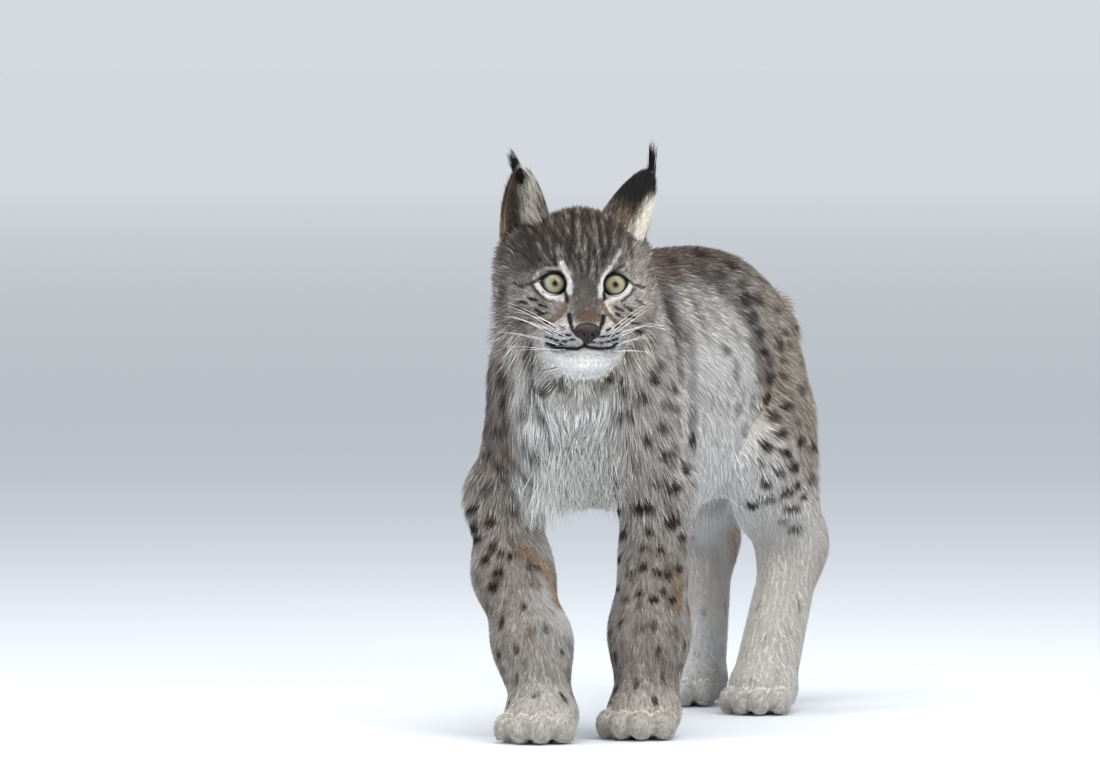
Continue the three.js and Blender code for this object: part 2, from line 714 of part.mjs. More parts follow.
const lower = trunkAndLegs.subtract(beyond(vec(0, 0, BELLY_CUT), up, -half));
const shins = lower.decompose();
for (const [name, joints] of Object.entries(LEGS)) {
  const side = Math.sign(joints[0][0]);
  nodes.set(`${name}_upper`, largest(torso.intersect(sideCut(OUTLINES[name], side, INNER, 0))));
  torso = torso.subtract(sideCut(OUTLINES[name], side, INNER, GAP));
  const [x, y] = joints.at(-2);
  const reach = (shape) => {
    const { min, max } = shape.boundingBox();
    return Math.hypot((min[0] + max[0]) / 2 - x, (min[1] + max[1]) / 2 - y);
  };
  const leg = shins.reduce((a, b) => (reach(a) < reach(b) ? a : b));
  nodes.set(`${name}_lower`, largest(leg.intersect(beyond(vec(0, 0, PAW_HEIGHT), up, half))));
  const [px, py] = PAWS[name].place;
  const pawSolid = solid(
    faceted(body, steps(px - 58, px + 58, 12.9), steps(py - 74, py + 68, 14), steps(-10, 74, 12)),
  );
  const paw = pawSolid.intersect(floor).subtract(beyond(vec(0, 0, PAW_HEIGHT), up, -half));
  nodes.set(`${name}_paw`, largest(paw));
}
nodes.set("torso", largest(torso));

// Where the long hair grows, each place given near the surface

const bodyHere = (p) => body(p.clone().applyMatrix4(headFrame));
const cheekPlaces = (side) =>
  rows(4, 3, (u, v) => vec(side * mix(44, 84, Math.sqrt(u)), mix(2, 96, u), mix(-34, -78, v) + 14 * u));
const cheekWay = (side) => () => vec(side * 0.22, 0.5, -0.85);
const beardPlaces = rows(3, 2, (u, v) => vec(mix(-26, 36, u), mix(-26, 18, v), mix(-84, -92, v)));
const beardWay = (p) => vec(p.x * 0.012, 0.3, -0.9);
const bibPlaces = rows(4, 4, (u, v) => {
  const x = mix(-66, 84, u) * mix(1, 0.56, v);
  return vec(x + 6, mix(-318, -258, v) + (x / 85) ** 2 * 46, mix(372, 262, v));
});
const bibWay = (p) => vec(p.x * 0.003, -0.16, -1);
const bellyPlaces = rows(2, 5, (u, v) => vec(mix(-30, 30, u), mix(-150, 96, v), 212));
const bellyWay = (p) => vec(p.x * 0.004, 0.55, -0.8);
const tailPlaces = rows(5, 1, (u) => vec(-28 + 15 * Math.cos(u * 6.3), 364 + 15 * Math.sin(u * 6.3), 280));
const trouserPlaces = (side, back) =>
  rows(1, 3, (u, v) => vec(side * mix(40, 56, v), back, mix(326, 250, v)));

const headLocks = [
  ...[1, -1].flatMap((side) =>
    locks(bodyHere, cheekPlaces(side), cheekWay(side), { length: 52, width: 25, thick: 7 }),
  ),
  ...locks(bodyHere, beardPlaces, beardWay, { length: 38, width: 22, thick: 7 }),
].map(inPlace);
const bodyLocks = [
  ...locks(body, bibPlaces, bibWay, { length: 70, width: 32, thick: 9 }),
  ...locks(body, bellyPlaces, bellyWay, { length: 46, width: 42, thick: 9 }),
  ...locks(body, tailPlaces, () => vec(0, 0.1, -1), { length: 26, width: 20, thick: 8 }),
  ...locks(body, trouserPlaces(1, 262), () => vec(0, 0.3, -1), { length: 46, width: 34, thick: 9 }),
  ...locks(body, trouserPlaces(-1, 280), () => vec(0, 0.3, -1), { length: 46, width: 34, thick: 9 }),
];
const earLocks = {
  ear_right: [
    ...earTuft(vec(-58, 64, 115), vec(-0.45, 0, 0.9), 24),
    ...earFringe(vec(-28, 50, 66), vec(-46, 56, 96), vec(0, -1, 0), vec(-0.55, -0.05, 0.8)),
  ],
  ear_left: [
    ...earTuft(vec(72, 70, 115), vec(0.02, 0, 1), TUFT_LENGTH),
    ...earFringe(vec(62, 64, 50), vec(76, 72, 92), vec(0.7, 0.5, 0), vec(0.3, 0.1, 0.9)),
  ],
};

// Each lock joins the piece that holds most of its root
const hair = new Map();
const give = (name, shapes) => hair.set(name, [...(hair.get(name) ?? []), ...shapes]);
const rooted = (shape) => {
  const held = (name) => nodes.get(name).intersect(shape).volume();
  const names = [...nodes.keys()].filter((name) => !/eye|nose|ear|paw|lower/.test(name));
  return names.reduce((a, b) => (held(b) > held(a) ? b : a));
};
for (const shape of [...headLocks, ...bodyLocks]) give(rooted(shape), [shape]);
for (const [name, shapes] of Object.entries(earLocks)) give(name, shapes.map(inPlace));

// and is cut clear of every other piece, and of the locks that those carry
const CLEAR_OF_PIECE = 0.45;
const CLEAR_OF_LOCKS = 1.2;
const plain = new Map(nodes);
const placed = [];
for (const [name, shapes] of hair) {
  let coat = wasm.Manifold.union(shapes);
  for (const [other, shape] of plain) if (other !== name) coat = clearOf(coat, shape, CLEAR_OF_PIECE);
  for (const other of placed) coat = clearOf(coat, other, CLEAR_OF_LOCKS);
  placed.push(coat);
  nodes.set(name, largest(plain.get(name).add(coat)));
}

// Colours of the pieces; every piece not named here wears the colour of the coat
const COAT = 0xa8957c;
const COLOURS = { nose: 0x5b4038, eye_left: 0xb9b57a, eye_right: 0xb9b57a };

const lynx = new THREE.Group();
lynx.name = "eurasian_lynx";
for (const [name, shape] of nodes) {
  const isEye = name.startsWith("eye");
  const color = COLOURS[name] ?? COAT;
  const material = new THREE.MeshStandardMaterial({ color, roughness: isEye ? 0.1 : 0.9 });
  material.name = isEye ? "eye" : name === "nose" ? "nose_skin" : "coat";
  const mesh = new THREE.Mesh(geometryOf(shape), material);
  mesh.name = name;
  lynx.add(mesh);
}

// The origin lies on the floor under the middle of the whole outline
const bounds = new THREE.Box3().setFromObject(lynx);
const middle = bounds.getCenter(vec(0, 0, 0));
for (const mesh of lynx.children) mesh.geometry.translate(-middle.x, -middle.y, 0);

export default lynx;
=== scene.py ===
# %% [markdown]
# # A young Eurasian lynx in winter coat, walking
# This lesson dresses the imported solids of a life-size model. The solids give the true outline, out to
# the tips of the coat. The real animal has a skin some way below that outline, and hair between the
# two. So one skin is made inside the solids and takes their place, and tufts of hair are rooted on it.
# The lesson works in millimetres in the frame in which the animal was designed: +Z is up, the head
# points towards -Y and the animal's left is +X. A last step turns millimetres into metres.

# %% Load the frame
import json
import math

import bpy
import numpy as np
from mathutils import Matrix, Vector

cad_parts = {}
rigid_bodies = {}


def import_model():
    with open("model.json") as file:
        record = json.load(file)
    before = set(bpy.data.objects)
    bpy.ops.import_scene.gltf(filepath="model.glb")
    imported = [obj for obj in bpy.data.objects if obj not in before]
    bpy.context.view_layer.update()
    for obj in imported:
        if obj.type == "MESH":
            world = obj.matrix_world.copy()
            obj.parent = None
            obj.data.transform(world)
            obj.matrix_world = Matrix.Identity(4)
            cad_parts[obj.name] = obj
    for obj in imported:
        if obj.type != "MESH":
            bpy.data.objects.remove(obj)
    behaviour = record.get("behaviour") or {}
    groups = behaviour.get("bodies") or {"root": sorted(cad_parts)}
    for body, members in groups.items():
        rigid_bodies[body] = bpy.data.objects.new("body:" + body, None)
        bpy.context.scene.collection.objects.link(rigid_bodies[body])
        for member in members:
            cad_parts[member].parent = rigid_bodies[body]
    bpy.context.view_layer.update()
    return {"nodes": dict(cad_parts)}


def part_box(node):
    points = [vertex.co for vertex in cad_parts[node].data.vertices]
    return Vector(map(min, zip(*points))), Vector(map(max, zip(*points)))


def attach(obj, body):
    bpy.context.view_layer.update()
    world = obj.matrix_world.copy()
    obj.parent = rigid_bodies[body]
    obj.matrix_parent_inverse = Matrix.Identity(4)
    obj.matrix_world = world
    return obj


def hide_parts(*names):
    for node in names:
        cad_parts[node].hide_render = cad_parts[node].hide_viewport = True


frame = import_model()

# %% [markdown]
# ## The frame of the head
# The head is turned 29 degrees towards the animal's left. Its own frame starts in the middle of the
# face, with the nose towards -Y, so that both halves of the face can be described once. The packed
# model is centred over the floor, and the box of an eyeball says how far it was moved for that.

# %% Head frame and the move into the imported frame
FACE_MIDDLE = np.array([85.0, -380.0, 462.0])
HEAD_TURN, HEAD_TILT = math.radians(29), math.radians(1.2)
EYE_SPREAD, EYE_RISE, EYE_RADIUS = 30.0, 4.4, 14.5
HEAD_AXES = np.array(Matrix.Rotation(HEAD_TURN, 3, "Z") @ Matrix.Rotation(HEAD_TILT, 3, "Y"))


def from_head(points):
    return FACE_MIDDLE + np.asarray(points, float) @ HEAD_AXES.T


def to_head(points):
    return (points - FACE_MIDDLE) @ HEAD_AXES


eye_low, eye_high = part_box("eye_left")
MOVE = np.array((eye_low + eye_high) / 2) * 1000 - from_head([EYE_SPREAD, 0, EYE_RISE])
print("move into the packed frame, mm:", MOVE.round(2))

# %% [markdown]
# ## The body as one smooth distance
# Sculpting by hand can't be repeated by a script, and a primitive has no likeness to a cat. A form can
# also be given as a distance: a function that is negative inside and positive outside. Balls and limbs
# with a soft minimum between them run into each other as muscle and fat do under a coat. These are the
# same forms and places as in the solids, so the skin fits them everywhere.

# %% Distances
def smoothstep(low, high, values):
    t = np.clip((values - low) / (high - low), 0, 1)
    return t * t * (3 - 2 * t)


def length_of(vectors):
    return np.sqrt(np.einsum("...i,...i", vectors, vectors))


def unit(vectors):
    return vectors / np.maximum(length_of(vectors), 1e-9)[..., None]


def ball(centre, radii):
    centre, radii = np.array(centre, float), np.array(radii, float)

    def form(points):
        scaled = (points - centre) / radii
        near = np.maximum(length_of(scaled), 1e-3)
        return near * (near - 1) / np.maximum(length_of(scaled / radii), 1e-3 / radii.min())

    return form


def limb(start, end, start_radius, end_radius):
    start, way = np.array(start, float), np.array(end, float) - np.array(start, float)

    def form(points):
        t = np.clip((points - start) @ way / (way @ way), 0, 1)
        return length_of(points - start - t[:, None] * way) - (start_radius + (end_radius - start_radius) * t)

    return form


def joined(parts):
    def form(points):
        distance = parts[0][0](points)
        for part, blend in parts[1:]:
            other = part(points)
            near = np.maximum(blend - np.abs(distance - other), 0) / blend
            distance = np.minimum(distance, other) - near * near * blend / 4
        return distance

    return form


def along(rows, place, column):
    rows = np.array(rows, float)
    x, y = rows[:, 0], rows[:, column]
    last = len(rows) - 1
    i = np.clip(np.searchsorted(x, place, side="left") - 1, 0, last - 1)
    before, after = np.maximum(i - 1, 0), np.minimum(i + 2, last)
    span = x[i + 1] - x[i]
    t = np.clip((place - x[i]) / span, 0, 1)
    slope_a = (y[i + 1] - y[before]) / (x[i + 1] - x[before]) * span
    slope_b = (y[after] - y[i]) / (x[after] - x[i]) * span
    t2, t3 = t * t, t * t * t
    return (
        y[i] * (2 * t3 - 3 * t2 + 1)
        + slope_a * (t3 - 2 * t2 + t)
        + y[i + 1] * (3 * t2 - 2 * t3)
        + slope_b * (t3 - t2)
    )


# %% The trunk, the legs, the paws and the tail
TRUNK = [  # place along the back, height of the back, height of the belly, half width
    (-285, 372, 300, 22),
    (-262, 408, 258, 46),
    (-220, 455, 238, 64),
    (-160, 488, 228, 73),
    (-80, 492, 222, 79),
    (0, 492, 218, 81),
    (90, 492, 218, 78),
    (165, 484, 232, 72),
    (230, 462, 262, 62),
    (280, 428, 300, 46),
    (312, 396, 344, 20),
]


def trunk(points):
    y = np.clip(points[:, 1], TRUNK[0][0], TRUNK[-1][0])
    top, bottom, half = (along(TRUNK, y, column) for column in (1, 2, 3))
    height = (top - bottom) / 2
    x, z = points[:, 0], points[:, 2] - (top + bottom) / 2
    near = np.maximum(np.hypot(x / half, z / height), 1e-3)
    steep = np.maximum(np.hypot(x / half**2, z / height**2), 1e-3 / half)
    side = near * (near - 1) / steep
    return np.hypot(np.maximum(side, 0), points[:, 1] - y) + np.minimum(side, 0)


LEGS = {  # the joints from the shoulder or hip down, each with the radius of the coat there
    "foreleg_left": [(56, -200, 368, 38), (66, -150, 252, 38), (63, -164, 105, 37), (64, -176, 30, 33)],
    "foreleg_right": [
        (-48, -215, 360, 35),
        (-86, -190, 242, 37),
        (-66, -214, 165, 37),
        (-34, -238, 98, 36),
        (-14, -256, 30, 32),
    ],
    "hindleg_left": [(36, 190, 340, 40), (60, 118, 268, 38), (61, 222, 168, 31), (55, 160, 35, 34)],
    "hindleg_right": [(-36, 190, 340, 40), (-60, 126, 264, 37), (-59, 276, 170, 28), (-57, 238, 35, 33)],
}
PAWS = {  # the middle of the ball of the foot, the turn towards the left in degrees, and the size
    "foreleg_left": (64, -184, 6, 1.0),
    "foreleg_right": (-12, -268, 10, 1.0),
    "hindleg_left": (56, 148, 4, 0.94),
    "hindleg_right": (-55, 222, -6, 0.94),
}
TOES = [(-29, -20), (-10, -34), (10, -34), (29, -20)]  # from the middle of the ball of the foot
TAIL = [(-2, 300, 412, 28), (-12, 338, 390, 26), (-22, 358, 340, 24), (-28, 362, 292, 21)]


def chain(joints, blend):
    return [(limb(a[:3], b[:3], a[3], b[3]), blend) for a, b in zip(joints, joints[1:])]


def paw(x, y, turn, size):
    c, s = math.cos(math.radians(turn)), math.sin(math.radians(turn))

    def at(u, v, z):
        return (x + size * (u * c - v * s), y + size * (u * s + v * c), z * size)

    toes = [(ball(at(u, v, 15), (13 * size, 20 * size, 17 * size)), 6) for u, v in TOES]
    return [(ball(at(0, 4, 24), (37 * size, 38 * size, 29 * size)), 16), *toes]


# %% The head in its own frame
def mirrored(x, y, z, rx, ry, rz, blend):
    return [(ball((side * x, y, z), (rx, ry, rz)), blend) for side in (1, -1)]


HEAD = joined(
    [
        (ball((0, 56, 8), (66, 72, 72)), 1),  # braincase
        (ball((0, 16, 18), (44, 34, 36)), 20),  # forehead
        (ball((0, 9, -26), (46, 33, 35)), 20),  # middle of the face
        (limb((0, 2, 2), (0, -37, -34), 23, 15), 22),  # bridge of the nose
        *mirrored(27, -1, 22, 17, 12, 9, 12),  # brows
        *mirrored(42, 8, 0, 18, 14, 15, 12),  # outer corners of the eyes
        *mirrored(42, 32, -22, 36, 38, 36, 20),  # cheekbones
        *mirrored(52, 62, -38, 33, 36, 50, 22),  # ruff of the cheeks
        (ball((48, 66, 14), (30, 34, 44)), 20),  # left side below the ear
        (ball((-55, 68, 12), (30, 34, 46)), 20),  # right side below the ear
        *mirrored(17, -31, -50, 25, 25, 18, 18),  # whisker pads
        (ball((0, -22, -74), (27, 25, 16)), 10),  # chin
        (ball((0, 26, -62), (46, 48, 30)), 20),  # jaw
    ]
)
body = joined(
    [
        (trunk, 1),
        (ball((56, -192, 345), (34, 60, 98)), 24),  # left shoulder
        (ball((-50, -205, 345), (34, 58, 96)), 24),  # right shoulder
        (ball((40, 200, 290), (41, 80, 106)), 26),  # left haunch
        (ball((-40, 204, 290), (41, 80, 106)), 26),  # right haunch
        (limb((44, 226, 312), (60, 232, 200), 36, 28), 24),  # left hamstring
        (limb((-44, 240, 312), (-58, 272, 200), 36, 28), 24),  # right hamstring
        *[part for joints in LEGS.values() for part in chain(joints, 28)],
        (limb(from_head((0, 84, -14)), (4, -196, 380), 60, 74), 40),  # neck
        (limb(from_head((0, 62, -52)), (4, -232, 330), 44, 56), 36),  # throat
        (lambda points: HEAD(to_head(points)), 22),
        *chain(TAIL, 24),
        *[part for place in PAWS.values() for part in paw(*place)],
    ]
)
print("distance at the middle of the trunk, mm:", body(np.array([[0.0, 0.0, 355.0]])).round(1))

# %% [markdown]
# ## How long the hair is
# On a lynx the hair is two or three millimetres long beside the nose, about one centimetre on the legs
# and between three and four on the chest and in the ruff. One function gives that length everywhere.
# The skin lies below the outline by about a third of it, as the hair lies at a low angle.

# %% Length of the hair
def near(points, centre, radii, soft=0.35):
    reach = length_of((points - np.array(centre, float)) / np.array(radii, float))
    return 1 - smoothstep(1 - soft, 1 + soft, reach)


HAIR_PLACES = [  # centre, radii and the length of the hair, in the frame of the body
    ((0, -20, 215), (62, 210, 36), 38),  # belly
    ((20, -292, 300), (80, 72, 106), 36),  # chest
    ((35, -300, 372), (84, 64, 50), 34),  # throat
    ((50, 262, 296), (44, 44, 66), 27),  # back of the left thigh
    ((-52, 282, 296), (44, 44, 66), 27),  # back of the right thigh
]
FACE_PLACES = [  # the same in the frame of the head
    ((62, 56, -58), (36, 48, 44), 34),  # left ruff
    ((-62, 56, -58), (36, 48, 44), 34),  # right ruff
    ((0, 24, -92), (56, 48, 24), 28),  # under the jaw
    ((0, -20, -88), (34, 28, 18), 15),  # chin
    ((30, -4, 4), (24, 22, 20), 3.2),  # round the left eye
    ((-30, -4, 4), (24, 22, 20), 3.2),  # round the right eye
]
NOSE_TIP = np.array([0.0, -54.0, -42.0])


def hair_length(points):
    head = to_head(points)
    hair = np.full(len(points), 19.0)
    for centre, radii, value in HAIR_PLACES:
        hair += (value - hair) * near(points, centre, radii)
    low = smoothstep(290, 150, points[:, 2])
    hair += (9 - hair) * low * (1 - near(points, (0, 362, 300), (60, 60, 90)))
    hair += (6.5 - hair) * smoothstep(100, 30, points[:, 2])
    from_nose = length_of(head - NOSE_TIP)
    face = np.interp(from_nose, [0, 26, 50, 80, 115, 160], [1.8, 2.6, 3.8, 6.5, 10, 20])
    hair += (face - hair) * smoothstep(175, 130, from_nose) * smoothstep(110, 70, head[:, 1])
    for centre, radii, value in FACE_PLACES:
        hair += (value - hair) * near(head, centre, radii)
    return hair


def coat_depth(points):
    return 0.3 * hair_length(points) + 0.2


# %% [markdown]
# ## The details of the face
# The skin adds what the coat hides in the solids: a hole for each eye, the line of the mouth under the
# whisker pads, and the groove from the nose down to it. They are cut out of the same distance.

# %% The distance of the skin
MOUTH_LEFT = [(15, -50, -62.5), (29, -40, -61), (40, -22, -55)]
MOUTH = [(-x, y, z) for x, y, z in MOUTH_LEFT[::-1]] + [(0, -51, -58.5)] + MOUTH_LEFT
PHILTRUM = [(0, -60, -49), (0, -58, -58)]


def tube_round(path, radius):
    parts = [limb(a, b, radius, radius) for a, b in zip(path, path[1:])]

    def form(points):
        return np.minimum.reduce([part(points) for part in parts])

    return form


def skin(points):
    distance = np.maximum(body(points) + coat_depth(points), 0.5 - points[:, 2])
    head = to_head(points)
    face = np.nonzero((np.abs(head[:, 0]) < 60) & (head[:, 1] < 20) & (np.abs(head[:, 2] + 20) < 60))[0]
    if len(face):
        here, own = head[face], distance[face]
        for side in (1, -1):
            socket = np.hypot(here[:, 0] - side * EYE_SPREAD, here[:, 2] - EYE_RISE) - 12.6
            own = np.maximum(own, -np.maximum(socket, here[:, 1] - 2))
        for groove in (tube_round(MOUTH, 1.9), tube_round(PHILTRUM, 1.0)):
            depth = -groove(here)
            blend = np.maximum(1.2 - np.abs(own - depth), 0) / 1.2
            own = np.maximum(own, depth) + blend * blend * 0.3
        distance[face] = own
    return distance


def slope(form, points, step):
    moves = np.eye(3) * step
    return np.stack([form(points + m) - form(points - m) for m in moves], 1) / (2 * step)


def onto(form, points, step=1.0, rounds=3, most=3.0):
    points = points.copy()
    for _ in range(rounds):
        way = slope(form, points, step)
        move = -way * (form(points) / np.maximum((way * way).sum(1), 0.05))[:, None]
        points += move * np.minimum(1, most / np.maximum(length_of(move), 1e-9))[:, None]
    return points


# %% [markdown]
# ## From distance to skin
# A grid of cells is laid through the body. Each cell that the surface crosses gets one vertex, and each
# edge of the grid that it crosses gets one face. That gives one closed skin with no seams. Where the
# face needs finer forms, the triangles are halved and their new corners are pulled onto the surface.

# %% A net over the grid, and finer triangles where they are wanted
COARSE = 4  # steps of the fine grid in one of the rough grid that finds where the surface is


def net(form, low, high, step):
    counts = [int((b - a) / step / COARSE + 1) for a, b in zip(low, high)]
    axes = [a + step * COARSE * np.arange(n + 1) for a, n in zip(low, counts)]
    rough = form(np.stack(np.meshgrid(*axes, indexing="ij"), -1).reshape(-1, 3))
    rough = rough.reshape([n + 1 for n in counts])
    for axis in range(3):
        rough = np.repeat(rough, COARSE, axis=axis)
    axes = [a + step * np.arange(n) for a, n in zip(low, rough.shape)]
    grid = np.stack(np.meshgrid(*axes, indexing="ij"), -1)
    values, shape = rough, rough.shape
    close = np.abs(rough) < step * COARSE * 2
    values[close] = form(grid[close])
    total = np.zeros((*[n - 1 for n in shape], 3))
    count = np.zeros([n - 1 for n in shape])
    quads = []
    for axis in range(3):
        others = [a for a in range(3) if a != axis]
        here = [slice(None)] * 3
        ahead = [slice(None)] * 3
        here[axis], ahead[axis] = slice(0, -1), slice(1, None)
        a, b = values[tuple(here)], values[tuple(ahead)]
        crossing = (a < 0) != (b < 0)
        where = np.argwhere(crossing)
        t = a[crossing] / (a[crossing] - b[crossing])
        spot = where.astype(float)
        spot[:, axis] += t
        inside = a[crossing] < 0
        cells = []
        for du, dv in ((-1, -1), (0, -1), (0, 0), (-1, 0)):
            cell = where.copy()
            cell[:, others[0]] += du
            cell[:, others[1]] += dv
            cells.append(cell)
            fits = ((cell >= 0) & (cell < np.array(count.shape))).all(1)
            index = tuple(cell[fits].T)
            np.add.at(total, index, spot[fits])
            np.add.at(count, index, 1)
        quad = np.stack(cells, 1)
        flip = inside if axis == 1 else ~inside
        quad[flip] = quad[flip][:, ::-1]
        quads.append(quad)
    used = np.argwhere(count > 0)
    number = np.full(count.shape, -1)
    number[tuple(used.T)] = np.arange(len(used))
    points = np.array(low) + step * (total[tuple(used.T)] / count[tuple(used.T)][:, None])
    quads = np.concatenate(quads)
    quads = quads[((quads >= 0) & (quads < np.array(count.shape))).all((1, 2))]
    index = number[tuple(np.moveaxis(quads, -1, 0))]
    return points, np.concatenate([index[:, [0, 1, 2]], index[:, [0, 2, 3]]])


def finer(points, faces, wanted):
    edges = np.sort(faces[:, [0, 1, 1, 2, 2, 0]].reshape(-1, 2), axis=1)
    keys, place = np.unique(edges[:, 0] * len(points) + edges[:, 1], return_inverse=True)
    ends = np.stack([keys // len(points), keys % len(points)], 1)
    split = wanted[ends].all(1)
    number = np.where(split, len(points) + np.cumsum(split) - 1, -1)
    middles = number[place].reshape(-1, 3)
    points = np.concatenate([points, points[ends[split]].mean(1)])
    cuts = (middles >= 0).sum(1)
    kept = [faces[cuts == 0]]
    for turn in range(3):
        one = (cuts == 1) & (middles[:, turn] >= 0)
        a, b, c = (faces[one, (turn + k) % 3] for k in range(3))
        m = middles[one, turn]
        kept += [np.stack([a, m, c], 1), np.stack([m, b, c], 1)]
    f, m = faces[cuts == 3], middles[cuts == 3]
    kept += [
        np.stack([f[:, 0], m[:, 0], m[:, 2]], 1),
        np.stack([m[:, 0], f[:, 1], m[:, 1]], 1),
        np.stack([m[:, 2], m[:, 1], f[:, 2]], 1),
        m,
    ]
    return points, np.concatenate(kept)


SKIN_BOX, SKIN_STEP = ((-135, -445, -12), (160, 395, 560)), 5.0
skin_points, skin_faces = net(skin, *SKIN_BOX, SKIN_STEP)
skin_points = onto(skin, skin_points, rounds=2)
head_places = to_head(skin_points)
wanted = (head_places[:, 1] < 90) & (np.abs(head_places[:, 0]) < 110)
skin_points, skin_faces = finer(skin_points, skin_faces, wanted | (skin_points[:, 2] < 60))
head_places = to_head(skin_points)
wanted = (head_places[:, 1] < 12) & (np.abs(head_places[:, 0]) < 58) & (np.abs(head_places[:, 2] + 24) < 62)
skin_points, skin_faces = finer(skin_points, skin_faces, wanted)
moved = to_head(skin_points)[:, 1] < 90
skin_points[moved] = onto(skin, skin_points[moved], step=0.6, rounds=2)
print("skin:", len(skin_points), "points,", len(skin_faces), "triangles")

# %% [markdown]
# ## Lids and ears
# A lid is thin and slides over the ball of the eye, so each pair is a ring that lies on a sphere just
# outside it, opened to an almond that dips towards the nose. An ear is a tapering cup with a thin wall.
# A grid can't carry such thin forms, so both are laid out as rings of points, with their roots sunk
# into the head, and joined to the skin as one mesh.

# %% Rings of points, closed into a wall
def rings_to_faces(levels, count, closed_ends):
    faces = []
    i = np.arange(count)
    ahead = (i + 1) % count
    for level in range(levels - 1):
        a, b = level * count + i, level * count + ahead
        faces += [np.stack([a, b, b + count], 1), np.stack([a, b + count, a + count], 1)]
    if closed_ends:
        half = count // 2
        for j in range(half - 1):
            a, b, c, d = j, j + 1, count - 2 - j, count - 1 - j
            top = (levels - 1) * count
            ends = [[a, c, b], [a, d, c], [top + a, top + b, top + c], [top + a, top + c, top + d]]
            faces.append(np.array(ends))
    return np.concatenate(faces)


def face_normals(points, faces):
    a, b, c = (points[faces[:, k]] for k in range(3))
    return np.cross(b - a, c - a)


def point_normals(points, faces):
    total = np.zeros_like(points)
    normals = face_normals(points, faces)
    for k in range(3):
        np.add.at(total, faces[:, k], normals)
    return unit(total)


def bezier(a, b, c, d, count):
    t = np.linspace(0, 1, count, endpoint=False)[:, None]
    a, b, c, d = (np.array(p, float) for p in (a, b, c, d))
    return (1 - t) ** 3 * a + 3 * (1 - t) ** 2 * t * b + 3 * (1 - t) * t * t * c + t**3 * d


# The rim of the lids of the left eye, from the inner corner over the top and back below
ALMOND = [
    ((-13.0, -8.0), (-11.4, 3.0), (-7, 8.7), (0, 8.9)),
    ((0, 8.9), (6.6, 9.0), (11, 6.0), (14.4, 2.2)),
    ((14.4, 2.2), (11.4, -5.2), (6.8, -9.6), (0.6, -9.8)),
    ((0.6, -9.8), (-4.6, -10.0), (-9, -10.6), (-13.0, -8.0)),
]
LID_STEPS = 20
LID_RINGS = [  # share of the way from the rim to the outer edge, and height above the ball of the eye
    (0.0, 0.35),
    (0.02, 1.1),
    (0.07, 1.75),
    (0.16, 2.1),
    (0.3, 2.3),
    (0.5, 2.5),
    (0.75, 2.3),
    (1.0, 1.6),
    (0.9, 0.3),
    (0.5, 0.2),
    (0.15, 0.2),
]
LID_REACH = math.radians(84)


def lids(side):
    rim = np.concatenate([bezier(*part, LID_STEPS) for part in ALMOND])
    rings = []
    for share, lift in LID_RINGS:
        out = np.hypot(rim[:, 0], rim[:, 1])
        angle = np.arcsin(np.minimum(out / (EYE_RADIUS + 1.0), 0.98))
        angle = angle + (LID_REACH - angle) * share
        radius = EYE_RADIUS + lift
        x, z = rim[:, 0] / out * np.sin(angle) * radius, rim[:, 1] / out * np.sin(angle) * radius
        rings.append(np.stack([side * (x + EYE_SPREAD), -np.cos(angle) * radius, z + EYE_RISE], 1))
    rings.append(rings[0])
    points = np.concatenate(rings[:-1])
    count, levels = len(rim), len(rings)
    faces = rings_to_faces(levels, count, False) % len(points)
    if side < 0:
        faces = faces[:, ::-1]
    return points, faces, np.repeat([share for share, _ in LID_RINGS], count)


EARS = {  # in the frame of the head
    "right": {
        "root": (-50, 64, 34),
        "tip": (-58, 66, 115),
        "opening": (-0.25, -1, 0.1),
        "width": 26.5,
        "depth": 19,
        "bow": -6,
    },
    "left": {
        "root": (32, 66, 34),
        "tip": (72, 70, 115),
        "opening": (0.5, 0.85, -0.1),
        "width": 27,
        "depth": 18,
        "bow": 3,
    },
}
EAR_LEVELS, EAR_ARC, EAR_WALL = 26, 24, 1.8


def ear(root, tip, opening, width, depth, bow):
    root, tip, opening = (np.array(v, float) for v in (root, tip, opening))
    up = tip - root
    axis = unit(up)
    back = -unit(opening - axis * (opening @ axis))
    across = np.cross(axis, back)
    rings, levels, sides = [], [], []
    for t in np.linspace(0, 0.985, EAR_LEVELS):
        reach = math.sqrt(1 - t**2.2) * (1 - 0.14 * t) + 0.02
        middle = root + up * t + back * bow * math.sin(t * 2.6)
        turn = (0.62 - 0.16 * t) * math.pi
        angles = np.linspace(-turn, turn, EAR_ARC + 1)
        for inset, order in ((0, slice(None)), (EAR_WALL * reach + 0.3, slice(None, None, -1))):
            w, d = max(width * reach - inset, 0.4), max(depth * reach - inset, 0.4)
            a = angles[order]
            rings.append(middle + np.outer(np.sin(a) * w, across) + np.outer(np.cos(a) * d, back))
            levels.append(np.full(len(a), t))
            sides.append(np.full(len(a), float(inset > 0)))
    points = np.concatenate(rings)
    faces = rings_to_faces(EAR_LEVELS, 2 * (EAR_ARC + 1), True)
    return points, faces, np.concatenate(levels), np.concatenate(sides)


